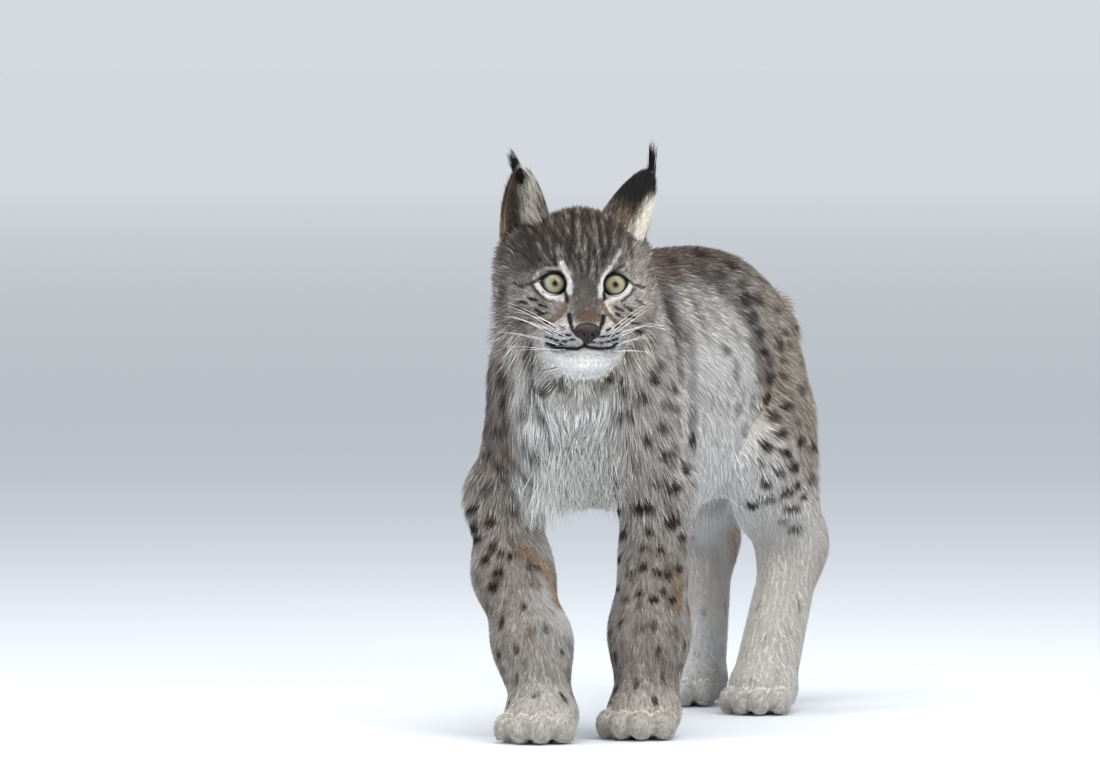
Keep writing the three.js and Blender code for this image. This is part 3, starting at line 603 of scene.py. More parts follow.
# %% One skin of all of them
BODY, LID, EAR_RIGHT, EAR_LEFT = range(4)
pieces = [(skin_points, skin_faces, unit(slope(skin, skin_points, 0.8)), np.full(len(skin_points), BODY))]
ear_level, ear_inside = np.zeros(len(skin_points)), np.zeros(len(skin_points))
lid_share = np.ones(len(skin_points))
for side in (1, -1):
    points, faces, share = lids(side)
    pieces.append((from_head(points), faces, None, np.full(len(points), LID)))
    lid_share = np.append(lid_share, share)
    ear_level, ear_inside = (np.append(v, np.zeros(len(points))) for v in (ear_level, ear_inside))
for kind, name in ((EAR_RIGHT, "right"), (EAR_LEFT, "left")):
    points, faces, level, inside = ear(**EARS[name])
    pieces.append((from_head(points), faces, None, np.full(len(points), kind)))
    lid_share = np.append(lid_share, np.ones(len(points)))
    ear_level, ear_inside = np.append(ear_level, level), np.append(ear_inside, inside)
starts = np.cumsum([0] + [len(p[0]) for p in pieces])
points = np.concatenate([p[0] for p in pieces])
faces = np.concatenate([p[1] + start for p, start in zip(pieces, starts)])
for p, start in zip(pieces[1:], starts[1:]):
    inward = ((p[0][p[1]].mean(1) - p[0].mean(0)) * face_normals(p[0], p[1])).sum() < 0
    if inward:
        rows = np.nonzero((faces[:, 0] >= start) & (faces[:, 0] < start + len(p[0])))[0]
        faces[rows] = faces[rows][:, ::-1]
normals = point_normals(points, faces)
normals[: len(skin_points)] = pieces[0][2]
kinds = np.concatenate([p[3] for p in pieces])
print("one skin:", len(points), "points,", len(faces), "triangles")

# %% [markdown]
# ## The way the hair lies
# Hair leaves the nose in all directions, runs back over the head, down the chest and the legs, and
# back and down along the flanks. A smooth field of directions, laid flat on the skin, combs it all.

# %% The lie of the coat
def along_skin(ways, normals):
    return ways - normals * np.einsum("ij,ij->i", ways, normals)[:, None]


def lie_of(points, normals):
    head = to_head(points)
    way = np.tile([0.0, 0.86, -0.5], (len(points), 1))

    def comb(way, amount, towards):
        return way + amount[:, None] * (towards - way)

    straight_down = np.full(len(points), -1.0)
    chest_way = np.stack([points[:, 0] * 0.002, straight_down * 0.1, straight_down], 1)
    way = comb(way, smoothstep(470, 250, points[:, 2]), np.array([0, 0.5, -0.86]))  # flanks
    way = comb(way, smoothstep(250, 170, points[:, 2]), np.array([0, 0.16, -1.0]))  # legs
    way = comb(way, near(points, (10, -280, 300), (120, 74, 130), 0.4), chest_way)
    way = comb(way, near(points, (-20, 356, 340), (50, 44, 110)), np.array([-0.1, 0.25, -1.0]))  # tail
    way = comb(way, smoothstep(46, 22, points[:, 2]), np.array([0.05, -0.8, -0.5]))  # paws
    from_nose = head - NOSE_TIP
    out = unit(from_nose)
    out[:, 1] = np.maximum(out[:, 1], 0.1)
    down = smoothstep(0, -60, head[:, 2]) * smoothstep(24, 70, np.abs(head[:, 0]))
    out += down[:, None] * np.array([0, 0.1, -0.9])
    under = smoothstep(-64, -92, head[:, 2])
    out += under[:, None] * np.array([0, 0.5, -0.4])
    back = smoothstep(10, 90, head[:, 1]) * (1 - under)
    out += back[:, None] * np.array([0, 0.6, -0.5])
    on_head = smoothstep(112, 72, head[:, 1]) * smoothstep(175, 150, length_of(from_nose))
    way = comb(way, on_head, out @ HEAD_AXES.T)
    return unit(along_skin(way, normals) + 1e-6)


# %% [markdown]
# ## Where the photograph shows its marks
# The marks of this animal are given where the camera sees them, in columns and rows of the picture. A
# ray from the camera finds the place on the body, so a mark sits on the coat and stays there when it is
# seen from any side. The camera comes first, because those rays start from it.

# %% The camera's place and rays
COLUMNS, ROWS = 1100, 757
SENSOR, LENS = 36.0, 285.0
FOCAL = LENS / SENSOR * COLUMNS  # in pixels
AZIMUTH, ELEVATION = math.radians(24), math.radians(2.5)  # of the way from the animal to the camera
BODY_DISTANCE = 9000  # from the camera to the body
CAMERA_ALONG = [-109.8, -9010, 748]  # how far the camera is to the right, forward and up
FIRST_REACH, RAY_STEPS = 8300.0, 70  # where a ray starts to feel for the body, and how often it steps
RIGHT = np.array([math.cos(AZIMUTH), math.sin(AZIMUTH), 0])
AHEAD = np.array([-math.sin(AZIMUTH), math.cos(AZIMUTH), 0])
FORWARD = AHEAD * math.cos(ELEVATION) - np.array([0, 0, math.sin(ELEVATION)])
UP = np.cross(RIGHT, FORWARD)
CAMERA = np.linalg.solve(np.array([RIGHT, FORWARD, [0, 0, 1]]), CAMERA_ALONG)


def seen(pixels):
    pixels = np.array(pixels, float)
    ways = unit(
        FORWARD
        + np.outer((pixels[:, 0] - COLUMNS / 2) / FOCAL, RIGHT)
        - np.outer((pixels[:, 1] - ROWS / 2) / FOCAL, UP)
    )
    reach = np.full(len(pixels), FIRST_REACH)
    for _ in range(RAY_STEPS):
        gap = body(CAMERA + ways * reach[:, None])
        reach += np.clip(gap * 0.8, -5, 60)
    hit = gap < 2
    return CAMERA + ways * reach[:, None], hit


print("camera at", CAMERA.round(1), "one pixel on the body is", round(BODY_DISTANCE / FOCAL, 3), "mm")

# %% [markdown]
# ## The colours of the coat
# Real fur gets its colour from banded hairs: a grey root, a pale band and a dark tip. The eye sees
# their mixture, so a soft ground colour comes first, laid on in broad patches, and marks come on top.

# %% Ground colours
def tone(red, green, blue):
    c = np.array([red, green, blue]) / 255
    return np.where(c <= 0.04045, c / 12.92, ((c + 0.055) / 1.055) ** 2.4)


FOREHEAD = tone(58, 54, 50)
BACK_BROWN = tone(118, 107, 98)
HAUNCH = tone(178, 166, 153)
DARK_BROWN = tone(66, 54, 46)
RUST = tone(108, 84, 62)
BRIDGE = tone(76, 60, 47)
TAN = tone(168, 132, 96)
TAWNY = tone(106, 92, 78)
# A darker copy of the grey of the coat: painted shade for the animal's right side
SHADED_SIDE_GREY = tone(132, 125, 119)
LEG_GREY = tone(172, 164, 156)
PALE_GREY = tone(198, 193, 187)
FLANK = tone(243, 239, 235)
CREAM = tone(232, 226, 213)
CHEST_WHITE = tone(236, 235, 231)
PAD_GREY = tone(158, 158, 161)
WHITE = tone(252, 251, 249)
EYE_WHITE = tone(214, 211, 206)
SPOT = tone(46, 33, 25)
BLACK = tone(14, 12, 11)

BODY_PATCHES = [  # centre, radii, colour, strength, softness; each is laid over those before it
    ((0, 20, 520), (130, 320, 84), BACK_BROWN, 1.0, 0.5),
    ((0, 60, 508), (64, 290, 40), DARK_BROWN, 0.45, 0.6),
    ((0, 250, 440), (90, 90, 80), BACK_BROWN, 0.9, 0.4),
    ((0, -235, 490), (84, 64, 90), BACK_BROWN, 0.8, 0.5),
    ((80, -20, 310), (60, 170, 120), FLANK, 1.0, 0.5),
    ((-80, -20, 310), (60, 170, 120), FLANK, 1.0, 0.5),
    ((0, 20, 215), (94, 250, 82), WHITE, 0.95, 0.5),
    ((78, 205, 345), (50, 104, 150), HAUNCH, 1.0, 0.45),
    ((-78, 205, 345), (50, 104, 150), HAUNCH, 1.0, 0.45),
    ((0, 310, 380), (80, 50, 110), HAUNCH, 0.9, 0.4),
    ((0, 130, 215), (76, 90, 60), WHITE, 0.9, 0.5),
    ((64, 196, 110), (70, 120, 120), FLANK, 1.0, 0.5),
    ((-64, 240, 120), (70, 120, 120), WHITE, 1.0, 0.5),
    ((90, -190, 350), (44, 66, 120), PALE_GREY, 0.8, 0.5),
    # Painted shade: the animal's right shoulder and the side of its neck are laid darker than the left ones
    ((-84, -240, 350), (58, 96, 130), SHADED_SIDE_GREY, 1.0, 0.4),
    ((-80, -200, 420), (60, 110, 60), BACK_BROWN, 0.6, 0.4),
    ((28, -320, 296), (54, 90, 108), CHEST_WHITE, 0.9, 0.45),
    ((24, -320, 250), (46, 80, 60), WHITE, 0.6, 0.5),
    ((70, -190, 110), (60, 70, 140), LEG_GREY, 0.9, 0.4),
    ((-60, -230, 140), (80, 90, 130), LEG_GREY, 0.9, 0.4),
    ((60, 196, 90), (60, 120, 70), CREAM, 0.6, 0.5),
    ((-60, 268, 120), (60, 44, 70), TAN, 0.25, 0.5),
    ((64, 236, 130), (60, 30, 90), TAN, 0.35, 0.5),
    ((4, -190, 190), (32, 90, 100), WHITE, 0.9, 0.5),
    ((64, -190, 10), (60, 60, 34), CREAM, 0.6, 0.5),
    ((-12, -270, 10), (60, 60, 34), CREAM, 0.6, 0.5),
    ((-28, 364, 288), (40, 40, 26), BLACK, 1.0, 0.12),
]
FACE_PATCHES = [  # the same in the frame of the head
    ((0, 50, 40), (90, 90, 90), FOREHEAD, 1.0, 0.3),
    ((0, 40, 74), (60, 60, 26), RUST, 0.3, 0.6),
    ((58, 24, 10), (34, 50, 40), LEG_GREY, 0.75, 0.5),
    ((46, 6, -22), (28, 60, 22), LEG_GREY, 0.8, 0.5),
    # Painted shade: the cheek below the eye and the ruff on the animal's right are a darker grey than on its
    # left
    ((-46, 6, -24), (28, 60, 18), SHADED_SIDE_GREY, 0.85, 0.5),
    ((72, 50, -34), (34, 60, 60), LEG_GREY, 0.85, 0.5),
    ((-72, 50, -40), (34, 60, 60), SHADED_SIDE_GREY, 0.85, 0.5),
    ((0, -24, -8), (18, 44, 26), FOREHEAD, 0.9, 0.4),
    ((0, -40, -27), (18, 24, 10), BRIDGE, 0.95, 0.5),
    ((25, -40, -50), (26, 30, 14), PAD_GREY, 0.9, 0.35),
    ((-25, -40, -50), (26, 30, 14), PAD_GREY, 0.95, 0.35),
    ((44, 30, -76), (34, 50, 26), CREAM, 0.9, 0.5),
    ((-44, 30, -76), (34, 50, 26), PALE_GREY, 0.9, 0.5),
    ((0, -10, -84), (52, 54, 24), WHITE, 1.0, 0.4),
]

# %% [markdown]
# ## The marks
# Each line below is a stroke or a spot as the picture shows it. Strokes are lines through a few places,
# with a width. Spots are ovals with a half length, a half width and a turn.

# %% Strokes of the face
LIPS = [(547, 343), (555, 348), (568, 348.5), (577, 349), (584.5, 346)]
LIPS += [(592, 348), (603, 349), (612, 348), (617, 344)]
STROKES = [  # colour, strength, half width in pixels, places in the picture
    (BLACK, 0.85, 1.6, [(572, 212), (573, 226), (572, 238), (571, 249)]),
    (BLACK, 0.5, 1.3, [(573, 250), (576, 262), (574, 270)]),
    (BLACK, 0.5, 1.3, [(581, 212), (583, 228), (582, 240)]),
    (BLACK, 0.5, 1.3, [(588, 212), (591, 228), (592, 240), (594, 252)]),
    (BLACK, 0.5, 1.3, [(596, 216), (599, 232), (602, 246), (604, 256)]),
    (BLACK, 0.45, 1.3, [(606, 222), (609, 240), (610, 254)]),
    (BLACK, 0.45, 1.3, [(564, 218), (562, 236), (560, 248)]),
    (BLACK, 0.45, 1.4, [(556, 222), (553, 242)]),
    (BLACK, 0.45, 1.2, [(566, 244), (564, 256), (567, 270)]),
    (BLACK, 0.55, 1.3, [(588, 246), (589, 258), (587, 272)]),
    (BLACK, 0.45, 1.2, [(598, 250), (598, 262), (597, 272)]),
    (BLACK, 0.45, 1.2, [(577, 244), (580, 256), (581, 270)]),
    (SPOT, 0.55, 1.8, [(545, 226), (541, 242)]),
    (SPOT, 0.55, 2.2, [(534, 230), (531, 245)]),
    (SPOT, 0.55, 1.8, [(617, 230), (619, 246)]),
    (SPOT, 0.7, 2.0, [(628, 238), (631, 254)]),
    (SPOT, 0.6, 1.8, [(520, 250), (536, 262)]),
    (BLACK, 0.85, 1.7, [(553, 256), (556, 266)]),
    (BLACK, 0.7, 1.2, [(541, 268), (547, 264), (553, 266)]),
    (BLACK, 0.8, 1.5, [(613, 272), (619, 267), (625, 264)]),
    (SPOT, 0.6, 3.0, [(501, 240), (500, 258)]),
    (SPOT, 0.5, 3.0, [(503, 288), (500, 318)]),
    (CREAM, 0.15, 1.6, [(577, 222), (579, 240), (576, 252)]),
    (CREAM, 0.15, 1.6, [(594, 222), (597, 238), (599, 252)]),
    (CREAM, 0.12, 1.6, [(585, 236), (586, 256)]),
    (EYE_WHITE, 0.2, 2.4, [(557, 246), (560, 255), (563, 264)]),
    (EYE_WHITE, 0.75, 2.5, [(562, 263), (567, 274), (569.5, 284), (569, 292)]),
    (EYE_WHITE, 0.3, 1.8, [(534, 277), (539, 271), (547, 267.5), (559, 268)]),
    (EYE_WHITE, 0.9, 2.2, [(537, 285), (541, 290.5), (547, 295), (555, 297.5), (562, 298.5)]),
    (EYE_WHITE, 0.3, 1.8, [(620, 250), (616, 258), (611, 266)]),
    (EYE_WHITE, 0.75, 2.0, [(610, 267), (604, 275), (601, 285), (600, 296)]),
    (EYE_WHITE, 0.9, 2.2, [(630, 287), (626, 292), (619, 296.5), (612, 299.5), (607, 302)]),
    (CREAM, 0.5, 1.6, [(607, 303), (609, 310), (614, 318), (621, 324)]),
    (RUST, 0.8, 2.6, [(567, 300), (565, 306), (560, 314), (551, 321)]),
    (RUST, 0.8, 2.2, [(602, 299), (604, 308), (610, 316), (618, 323)]),
    (BLACK, 0.95, 1.2, [(543, 276), (537, 280), (530, 283), (521, 285.5), (514, 283)]),
    (BLACK, 0.8, 1.2, [(531, 284), (536, 291), (543, 298), (550, 301)]),
    (BLACK, 0.95, 1.5, [(564, 289), (566, 294), (567, 301)]),
    (BLACK, 0.95, 1.2, [(624, 277), (630, 281), (636, 284.5), (645, 287)]),
    (BLACK, 0.8, 1.4, [(635, 288), (630, 295), (622, 301)]),
    (BLACK, 0.95, 1.3, [(604, 291), (605, 299)]),
    (BLACK, 1.0, 2.2, [(569, 315), (570, 322)]),
    (BLACK, 1.0, 1.8, [(570, 322), (572, 329), (577, 335)]),
    (BLACK, 1.0, 2.2, [(603.5, 316), (603, 322)]),
    (BLACK, 1.0, 1.8, [(603, 322), (600, 329), (596, 335)]),
    (BLACK, 1.0, 1.4, [(585, 338), (584.5, 346)]),
    (BLACK, 1.0, 1.6, LIPS),
    (SPOT, 0.75, 3.4, [(530, 349), (526, 360), (530, 373)]),
    (SPOT, 0.6, 2.4, [(519, 342), (526, 356)]),
    (SPOT, 0.75, 3.2, [(640, 348), (634, 356), (628, 367)]),
    (EYE_WHITE, 0.5, 5.0, [(507, 342), (513, 360)]),
]
DASHES = [  # dark dashes on the whisker pads and the cheeks, from one place to another
    (543, 322, 548, 324), (551, 325, 556, 327), (559, 327.5, 564, 329.5), (543, 330, 548, 331.5),
    (551, 332, 556, 333.5), (559, 334.5, 563, 335.5), (566, 335, 570, 335.5), (546, 337.5, 551, 339),
    (554, 340, 558, 341), (562, 341, 566, 341.5), (570, 339.5, 574, 340), (550, 343.5, 555, 345),
    (559, 344.5, 564, 345), (620, 325.5, 615, 327.5), (611, 329, 607, 330.5), (622, 333, 617, 334.5),
    (613, 335.5, 608, 336.5), (605, 336.5, 600, 337), (618, 339, 613, 340.5), (610, 341.5, 606, 342.5),
    (603, 343, 598, 343.5), (595, 342.5, 591, 342.5), (534, 309, 541, 313), (538, 304.5, 546, 306.5),
    (535, 315, 546, 312.5), (517, 301, 525, 303), (527, 297, 536, 300), (516, 307, 523, 309),
    (524, 313, 531, 316), (520, 321, 528, 322), (615, 306, 624, 311), (616, 313, 623, 317),
    (624, 305, 634, 311), (628, 316, 637, 318), (632, 323, 640, 324), (636, 331, 644, 331),
    (638, 300, 646, 304),
]
STROKES += [(BLACK, 1.0, 1.15, [dash[:2], dash[2:]]) for dash in DASHES]

# %% Spots of the body
SPOTS = [  # column, row, half length, half width, turn in degrees; darkness where it isn't full
    (504, 384, 7, 4, -20, 0.6), (506, 409, 4, 5, 0, 0.8), (505, 374, 8, 3, 10, 0.6),
    (511, 433, 4, 5, 30, 0.6), (530, 421, 6, 4, -8), (544, 423, 6, 4, 10, 0.8),
    (500, 438, 7, 4, 0, 0.45), (490, 460, 6, 3, 0), (504, 472, 8, 3, 12), (507, 484, 5, 3, 20),
    (532, 481, 8, 4, 35), (541, 494, 6, 10, -14), (545, 518, 2.5, 9, 0), (543, 464, 9, 4, 15, 0.8),
    (531, 451, 6, 5, 0, 0.5), (486, 495, 7, 5, -20, 0.5), (473, 514, 8, 3.5, -35), (475, 532, 5, 5, 0),
    (490, 526, 7, 4, -20), (477, 543, 5, 4, 0), (491, 552, 4, 4, 0, 0.8), (485, 564, 5, 5, 0, 0.8),
    (500, 558, 4, 4, 0, 0.7), (498, 576, 6, 5, -30, 0.8), (511, 561, 5, 4, 0, 0.8),
    (493, 590, 6, 5, 0, 0.8), (533, 570, 8, 2.5, 10, 0.7), (514, 517, 5, 3, 20, 0.6),
    (510, 546, 5, 3, 20, 0.5), (541, 393, 8, 5, 10, 0.7), (563, 388, 7, 5, 15, 0.65),
    (568, 398, 6, 4, 0, 0.4), (535, 407, 6, 3, 0, 0.45), (599, 390, 8, 4, -15, 0.5),
    (607, 380, 3.5, 5, 0, 0.8), (617, 397, 5, 5, 0, 0.75), (641, 403, 10, 2.5, -4, 0.85),
    (613, 420, 7, 4, -5), (626, 423, 6, 4, 10), (646, 447, 8, 4, 52), (662, 432, 7, 5, 40, 0.65),
    (666, 459, 8, 4, -20, 0.85), (671, 469, 5, 5, 20, 0.5), (686, 473, 4.5, 5, 0),
    (659, 487, 9, 5, -10, 0.45), (674, 493, 10, 4.5, -25, 0.9), (616, 485, 10, 3, -28, 0.6),
    (645, 512, 14, 6, 0), (617, 515, 9, 4, -20, 0.8), (673, 526, 9, 5, -25), (622, 539, 7, 4, -8),
    (650, 535, 5, 4, 0), (645, 552, 7, 3, 0), (661, 555, 5.5, 4.5, 0), (682, 541, 4, 4, 0, 0.8),
    (618, 563, 4, 4, 0, 0.9), (643, 571, 5, 3, 0), (657, 576, 5.5, 3, 10), (668, 579, 4, 4, 0),
    (630, 578, 5, 3, 0, 0.7), (640, 597, 4.5, 3.5, 0), (653, 603, 6, 3.5, 10), (616, 592, 4, 4, 0, 0.7),
    (625, 603, 4, 4, 0, 0.6), (663, 595, 4, 3, 0, 0.8), (672, 603, 4, 3, 0, 0.8),
    (679, 572, 3, 4, 0, 0.7), (690, 443, 3.5, 8, 0, 0.7), (683, 437, 4, 6, 0, 0.5),
    (655, 348, 5, 4, 0, 0.8), (660, 369, 5, 5, 0, 0.6), (653, 384, 7, 4, -20, 0.8),
    (666, 410, 6, 4, 0, 0.5), (677, 412, 5, 5, 0, 0.5), (675, 392, 7, 3, 0, 0.5),
    (726, 354, 4, 5, 0, 0.5), (735, 374, 2.5, 13, 0, 0.45), (736, 410, 3.5, 7, 0, 0.4),
    (742, 433, 3, 7, 0, 0.3), (703, 256, 11, 5, 10, 0.6), (672, 262, 9, 4, 25, 0.5),
    (733, 268, 8, 5, 20, 0.6), (743, 286, 7, 5, 0, 0.5), (720, 278, 9, 3.5, 25, 0.45),
    (746, 303, 6, 8, 0, 0.7), (757, 302, 5, 7, 0, 0.6), (752, 320, 5, 9, 0, 0.65),
    (759, 336, 4, 8, 0, 0.6), (762, 355, 5, 4, 0, 0.8), (777, 312, 5, 4, 0, 0.5),
    (779, 348, 4, 7, 0, 0.6), (785, 336, 4, 4, 0, 0.5), (770, 381, 6, 6, 0, 0.7),
    (784, 380, 5, 4, 0, 0.6), (783, 365, 4, 3, 0, 0.6), (767, 402, 5, 9, 0, 0.8),
    (787, 409, 7, 4, -10, 0.75), (775, 421, 5, 5, 0, 0.7), (783, 437, 6, 5, -20, 0.85),
    (799, 444, 6, 4, -35, 0.85), (787, 458, 5, 6, 0, 0.8), (770, 452, 6, 5, 0, 0.8),
    (794, 470, 7, 5, -30, 0.95), (780, 476, 5, 4, 0), (763, 469, 4, 3, -20, 0.7),
    (766, 487, 6, 3.5, 0, 0.85), (785, 495, 7, 3.5, -12, 0.9), (796, 488, 4, 6, 20, 0.85),
    (803, 500, 6, 3.5, -20, 0.8), (769, 501, 10, 2.2, -8, 0.7), (754, 506, 5, 3, 0, 0.8),
    (791, 512, 9, 3.5, -4, 0.85), (812, 452, 3.5, 5, 0, 0.7), (811, 483, 4, 5, 0, 0.6),
    (783, 524, 7, 2.5, 0, 0.5), (795, 533, 8, 3.2, 0, 0.7), (800, 395, 4, 5, 0, 0.5),
    (797, 425, 4, 4, 0, 0.5), (768, 365, 3, 6, 0, 0.5),
]
BANDS = [  # soft dark or pale bands on the neck, the shoulder and the back, as strokes
    # Painted shadow: the first band is a soft dark line along the back edge of the left shoulder
    (DARK_BROWN, 0.45, 4.0, [(690, 332), (692, 380), (691, 420), (690, 448)]),
    (DARK_BROWN, 0.6, 4.0, [(668, 300), (676, 340), (680, 385)]),
    (DARK_BROWN, 0.6, 5.0, [(654, 262), (668, 300), (682, 340)]),
    (DARK_BROWN, 0.5, 3.0, [(672, 268), (690, 300), (704, 330)]),
    (CREAM, 0.5, 3.0, [(682, 290), (694, 318), (700, 345)]),
    (DARK_BROWN, 0.55, 5.0, [(700, 275), (725, 292), (742, 312), (756, 340), (762, 380)]),
    (RUST, 0.35, 8.0, [(660, 256), (676, 280)]),
    (TAN, 0.7, 6.0, [(524, 556), (542, 568), (556, 588), (562, 606)]),
    (TAN, 0.6, 4.0, [(677, 580), (677, 612)]),
    (TAN, 0.5, 8.0, [(737, 540), (740, 575), (736, 604)]),
    (WHITE, 1.0, 10.0, [(526, 488), (535, 520)]),
    (DARK_BROWN, 0.45, 5.0, [(488, 360), (487, 400), (488, 440)]),
    (RUST, 0.3, 6.0, [(636, 372), (640, 376)]),
]
print(len(STROKES), "strokes,", len(SPOTS), "spots and", len(BANDS), "bands seen in the picture")

# %% Rays find the marks on the body
def in_picture(points):
    away = points - CAMERA
    depth = away @ FORWARD
    column = COLUMNS / 2 + FOCAL * (away @ RIGHT) / depth
    return np.stack([column, ROWS / 2 - FOCAL * (away @ UP) / depth], 1), depth


def gap_to_line(flat, line):
    gaps = []
    for start, end in zip(line, line[1:]):
        way = end - start
        t = np.clip((flat - start) @ way / (way @ way), 0, 1)
        gaps.append(length_of(flat - start - t[:, None] * way))
    return np.minimum.reduce(gaps)


all_strokes = STROKES + BANDS
stroke_places, stroke_hit = seen([place for stroke in all_strokes for place in stroke[3]])
spot_places, spot_hit = seen([spot[:2] for spot in SPOTS])
stroke_ends = np.cumsum([0] + [len(stroke[3]) for stroke in all_strokes])
_, stroke_depths = in_picture(stroke_places)
_, spot_depths = in_picture(spot_places)
rays_met = int(stroke_hit.sum() + spot_hit.sum())
print("rays that met the body:", rays_met, "of", len(stroke_hit) + len(spot_hit))

# %% [markdown]
# The camera sees one side. On the rest of the body the spots are scattered as the species wears them:
# rows of short ovals along the lie of the hair, dense and dark on the legs and haunches, faint on the
# back and the flanks, and none on the belly.

# %% Spots on the sides that the picture doesn't show
HIDDEN_ROW = 606  # the legs don't show below this row of the picture
CANDIDATES, SPOT_SPACING = 9000, 25.0
rng = np.random.default_rng(7)
candidates = rng.permutation(len(skin_points))[:CANDIDATES]
places, ways_out = skin_points[candidates], normals[candidates]
flat, _ = in_picture(places)
found, _ = seen(flat)
hidden = (length_of(found - places) > 34) | (ways_out @ FORWARD > -0.12) | (flat[:, 1] > HIDDEN_ROW)
hidden &= (to_head(places)[:, 1] > 84) & (places[:, 2] > 34)
chosen = []
for place, way_out in zip(places[hidden], ways_out[hidden]):
    if all(((place - other[0]) ** 2).sum() > SPOT_SPACING**2 for other in chosen):
        chosen.append((place, way_out))
hidden_places = np.array([place for place, _ in chosen])
hidden_out = np.array([way_out for _, way_out in chosen])
hidden_lie = lie_of(hidden_places, hidden_out)
hidden_side = np.cross(hidden_out, hidden_lie)
belly = near(hidden_places, (0, 20, 212), (66, 260, 62), 0.3)
legs = smoothstep(300, 220, hidden_places[:, 2])
hidden_dark = (0.5 + 0.4 * legs) * (1 - belly) * rng.uniform(0.6, 1.0, len(hidden_places))
hidden_dark *= 1 - 0.75 * smoothstep(150, 60, hidden_places[:, 2]) * (hidden_places[:, 1] > 60)
hidden_long = rng.uniform(4.5, 8.5, len(hidden_places))
hidden_wide = rng.uniform(3.0, 4.6, len(hidden_places))
print("scattered spots:", len(hidden_places))

# %% [markdown]
# ## One function paints skin and hair
# The skin and every tuft ask the same function for their colour, so their markings agree. It lays the
# broad patches first, then the spots of the unseen sides, the streaks of the crown and a mottling, and
# last the strokes and the spots of the picture. A mark colours only what is about as far from the
# camera as the place where it was seen.

# %% Paint
MARK_DEPTH = 36.0  # how far behind or before the place of a mark the hair still wears it


def lay(colours, colour, amount, index=slice(None)):
    colours[index] += (colour - colours[index]) * amount[:, None]


def in_box(points, places, reach):
    return np.nonzero(((points > places.min(0) - reach) & (points < places.max(0) + reach)).all(1))[0]


def same_depth(depth, place_depth):
    return 1 - smoothstep(0.7, 1.3, np.abs(depth - place_depth) / MARK_DEPTH)


def lay_unseen_spots(colours, points):
    for place, side, lie, out, long, wide, dark in zip(
        hidden_places, hidden_side, hidden_lie, hidden_out, hidden_long, hidden_wide, hidden_dark
    ):
        index = in_box(points, place[None], long * 1.6)
        away = points[index] - place
        reach = np.sqrt((away @ lie / long) ** 2 + (away @ side / wide) ** 2 + (away @ out / 12) ** 2)
        lay(colours, SPOT, dark * (1 - smoothstep(0.6, 1.35, reach)), index)


def lay_crown_streaks(colours, head, on_head):
    x, y, z = head.T
    waves = 1.1 * np.sin(z * 0.23) + 0.8 * np.sin(x * 0.31 + z * 0.12)
    fan = np.sin(np.arctan2(x, z + 44) * 56 + waves)
    broken = 0.5 + 0.5 * np.sin(z * 0.47 + x * 0.83 + 1.3 * np.sin(x * 0.17))
    crown = smoothstep(8, 24, z) * smoothstep(84, 60, y) * smoothstep(62, 44, np.abs(x)) * on_head * broken
    lay(colours, BLACK, smoothstep(0.0, 0.9, fan) * crown * 0.7)
    lay(colours, PALE_GREY, smoothstep(0.2, 0.95, -fan) * crown * 0.22)


def lay_mottling(colours, points, on_head):
    x, y, z = points.T
    swirl = (
        np.sin(x * 0.21 + 1.7 * np.sin(z * 0.09))
        + np.sin(y * 0.17 + 2.0 * np.sin(x * 0.08 + z * 0.05))
        + np.sin(z * 0.2 + y * 0.07)
    )
    belly = near(points, (0, 20, 232), (84, 260, 84), 0.5)
    plain = np.maximum(belly, near(points, (28, -320, 296), (56, 90, 100), 0.4))
    mottled = smoothstep(0.9, 2.1, swirl) * (1 - plain) * (1 - on_head)
    mottled *= np.where(y < -100, 0.5, smoothstep(230, 320, z) * (0.3 + 0.3 * smoothstep(30, 140, y)))
    lay(colours, RUST * 0.75, mottled * smoothstep(30, 80, z))


def lay_strokes(colours, flat, depth):
    for (colour, strength, half, line), start, end in zip(all_strokes, stroke_ends, stroke_ends[1:]):
        line, met = np.array(line, float), stroke_hit[start:end]
        index = in_box(flat, line, half * 2)
        if not len(index) or not met.any():
            continue
        amount = strength * (1 - smoothstep(0.6, 1.7, gap_to_line(flat[index], line) / half))
        nearest = np.argmin(length_of(flat[index][:, None] - line[met][None]), axis=1)
        amount *= same_depth(depth[index], stroke_depths[start:end][met][nearest])
        lay(colours, colour, amount, index)


def lay_spots(colours, flat, depth):
    for spot, place_depth, hit in zip(SPOTS, spot_depths, spot_hit):
        column, row, long, wide, turn, dark = (*spot, 1.0)[:6]
        long, wide = long + 0.8, wide + 0.8
        index = in_box(flat, np.array([[column, row]]), max(long, wide) * 1.4)
        if not len(index) or not hit:
            continue
        x, y = flat[index, 0] - column, flat[index, 1] - row
        c, s = math.cos(math.radians(turn)), math.sin(math.radians(turn))
        reach = np.hypot((x * c + y * s) / long, (y * c - x * s) / wide)
        amount = min(1.0, 1.3 * dark) * (1 - smoothstep(0.6, 1.25, reach))
        lay(colours, SPOT, amount * same_depth(depth[index], place_depth), index)


def paint(points):
    head = to_head(points)
    colours = np.tile(PALE_GREY, (len(points), 1))
    on_head = smoothstep(125, 85, head[:, 1]) * smoothstep(190, 160, length_of(head - NOSE_TIP))
    for patches, where, share in ((BODY_PATCHES, points, 1 - 0.6 * on_head), (FACE_PATCHES, head, on_head)):
        for centre, radii, colour, strength, soft in patches:
            lay(colours, colour, near(where, centre, radii, soft) * strength * share)
    lay_unseen_spots(colours, points)
    lay_crown_streaks(colours, head, on_head)
    lay_mottling(colours, points, on_head)
    flat, depth = in_picture(points)
    lay_strokes(colours, flat, depth)
    lay_spots(colours, flat, depth)
    return colours


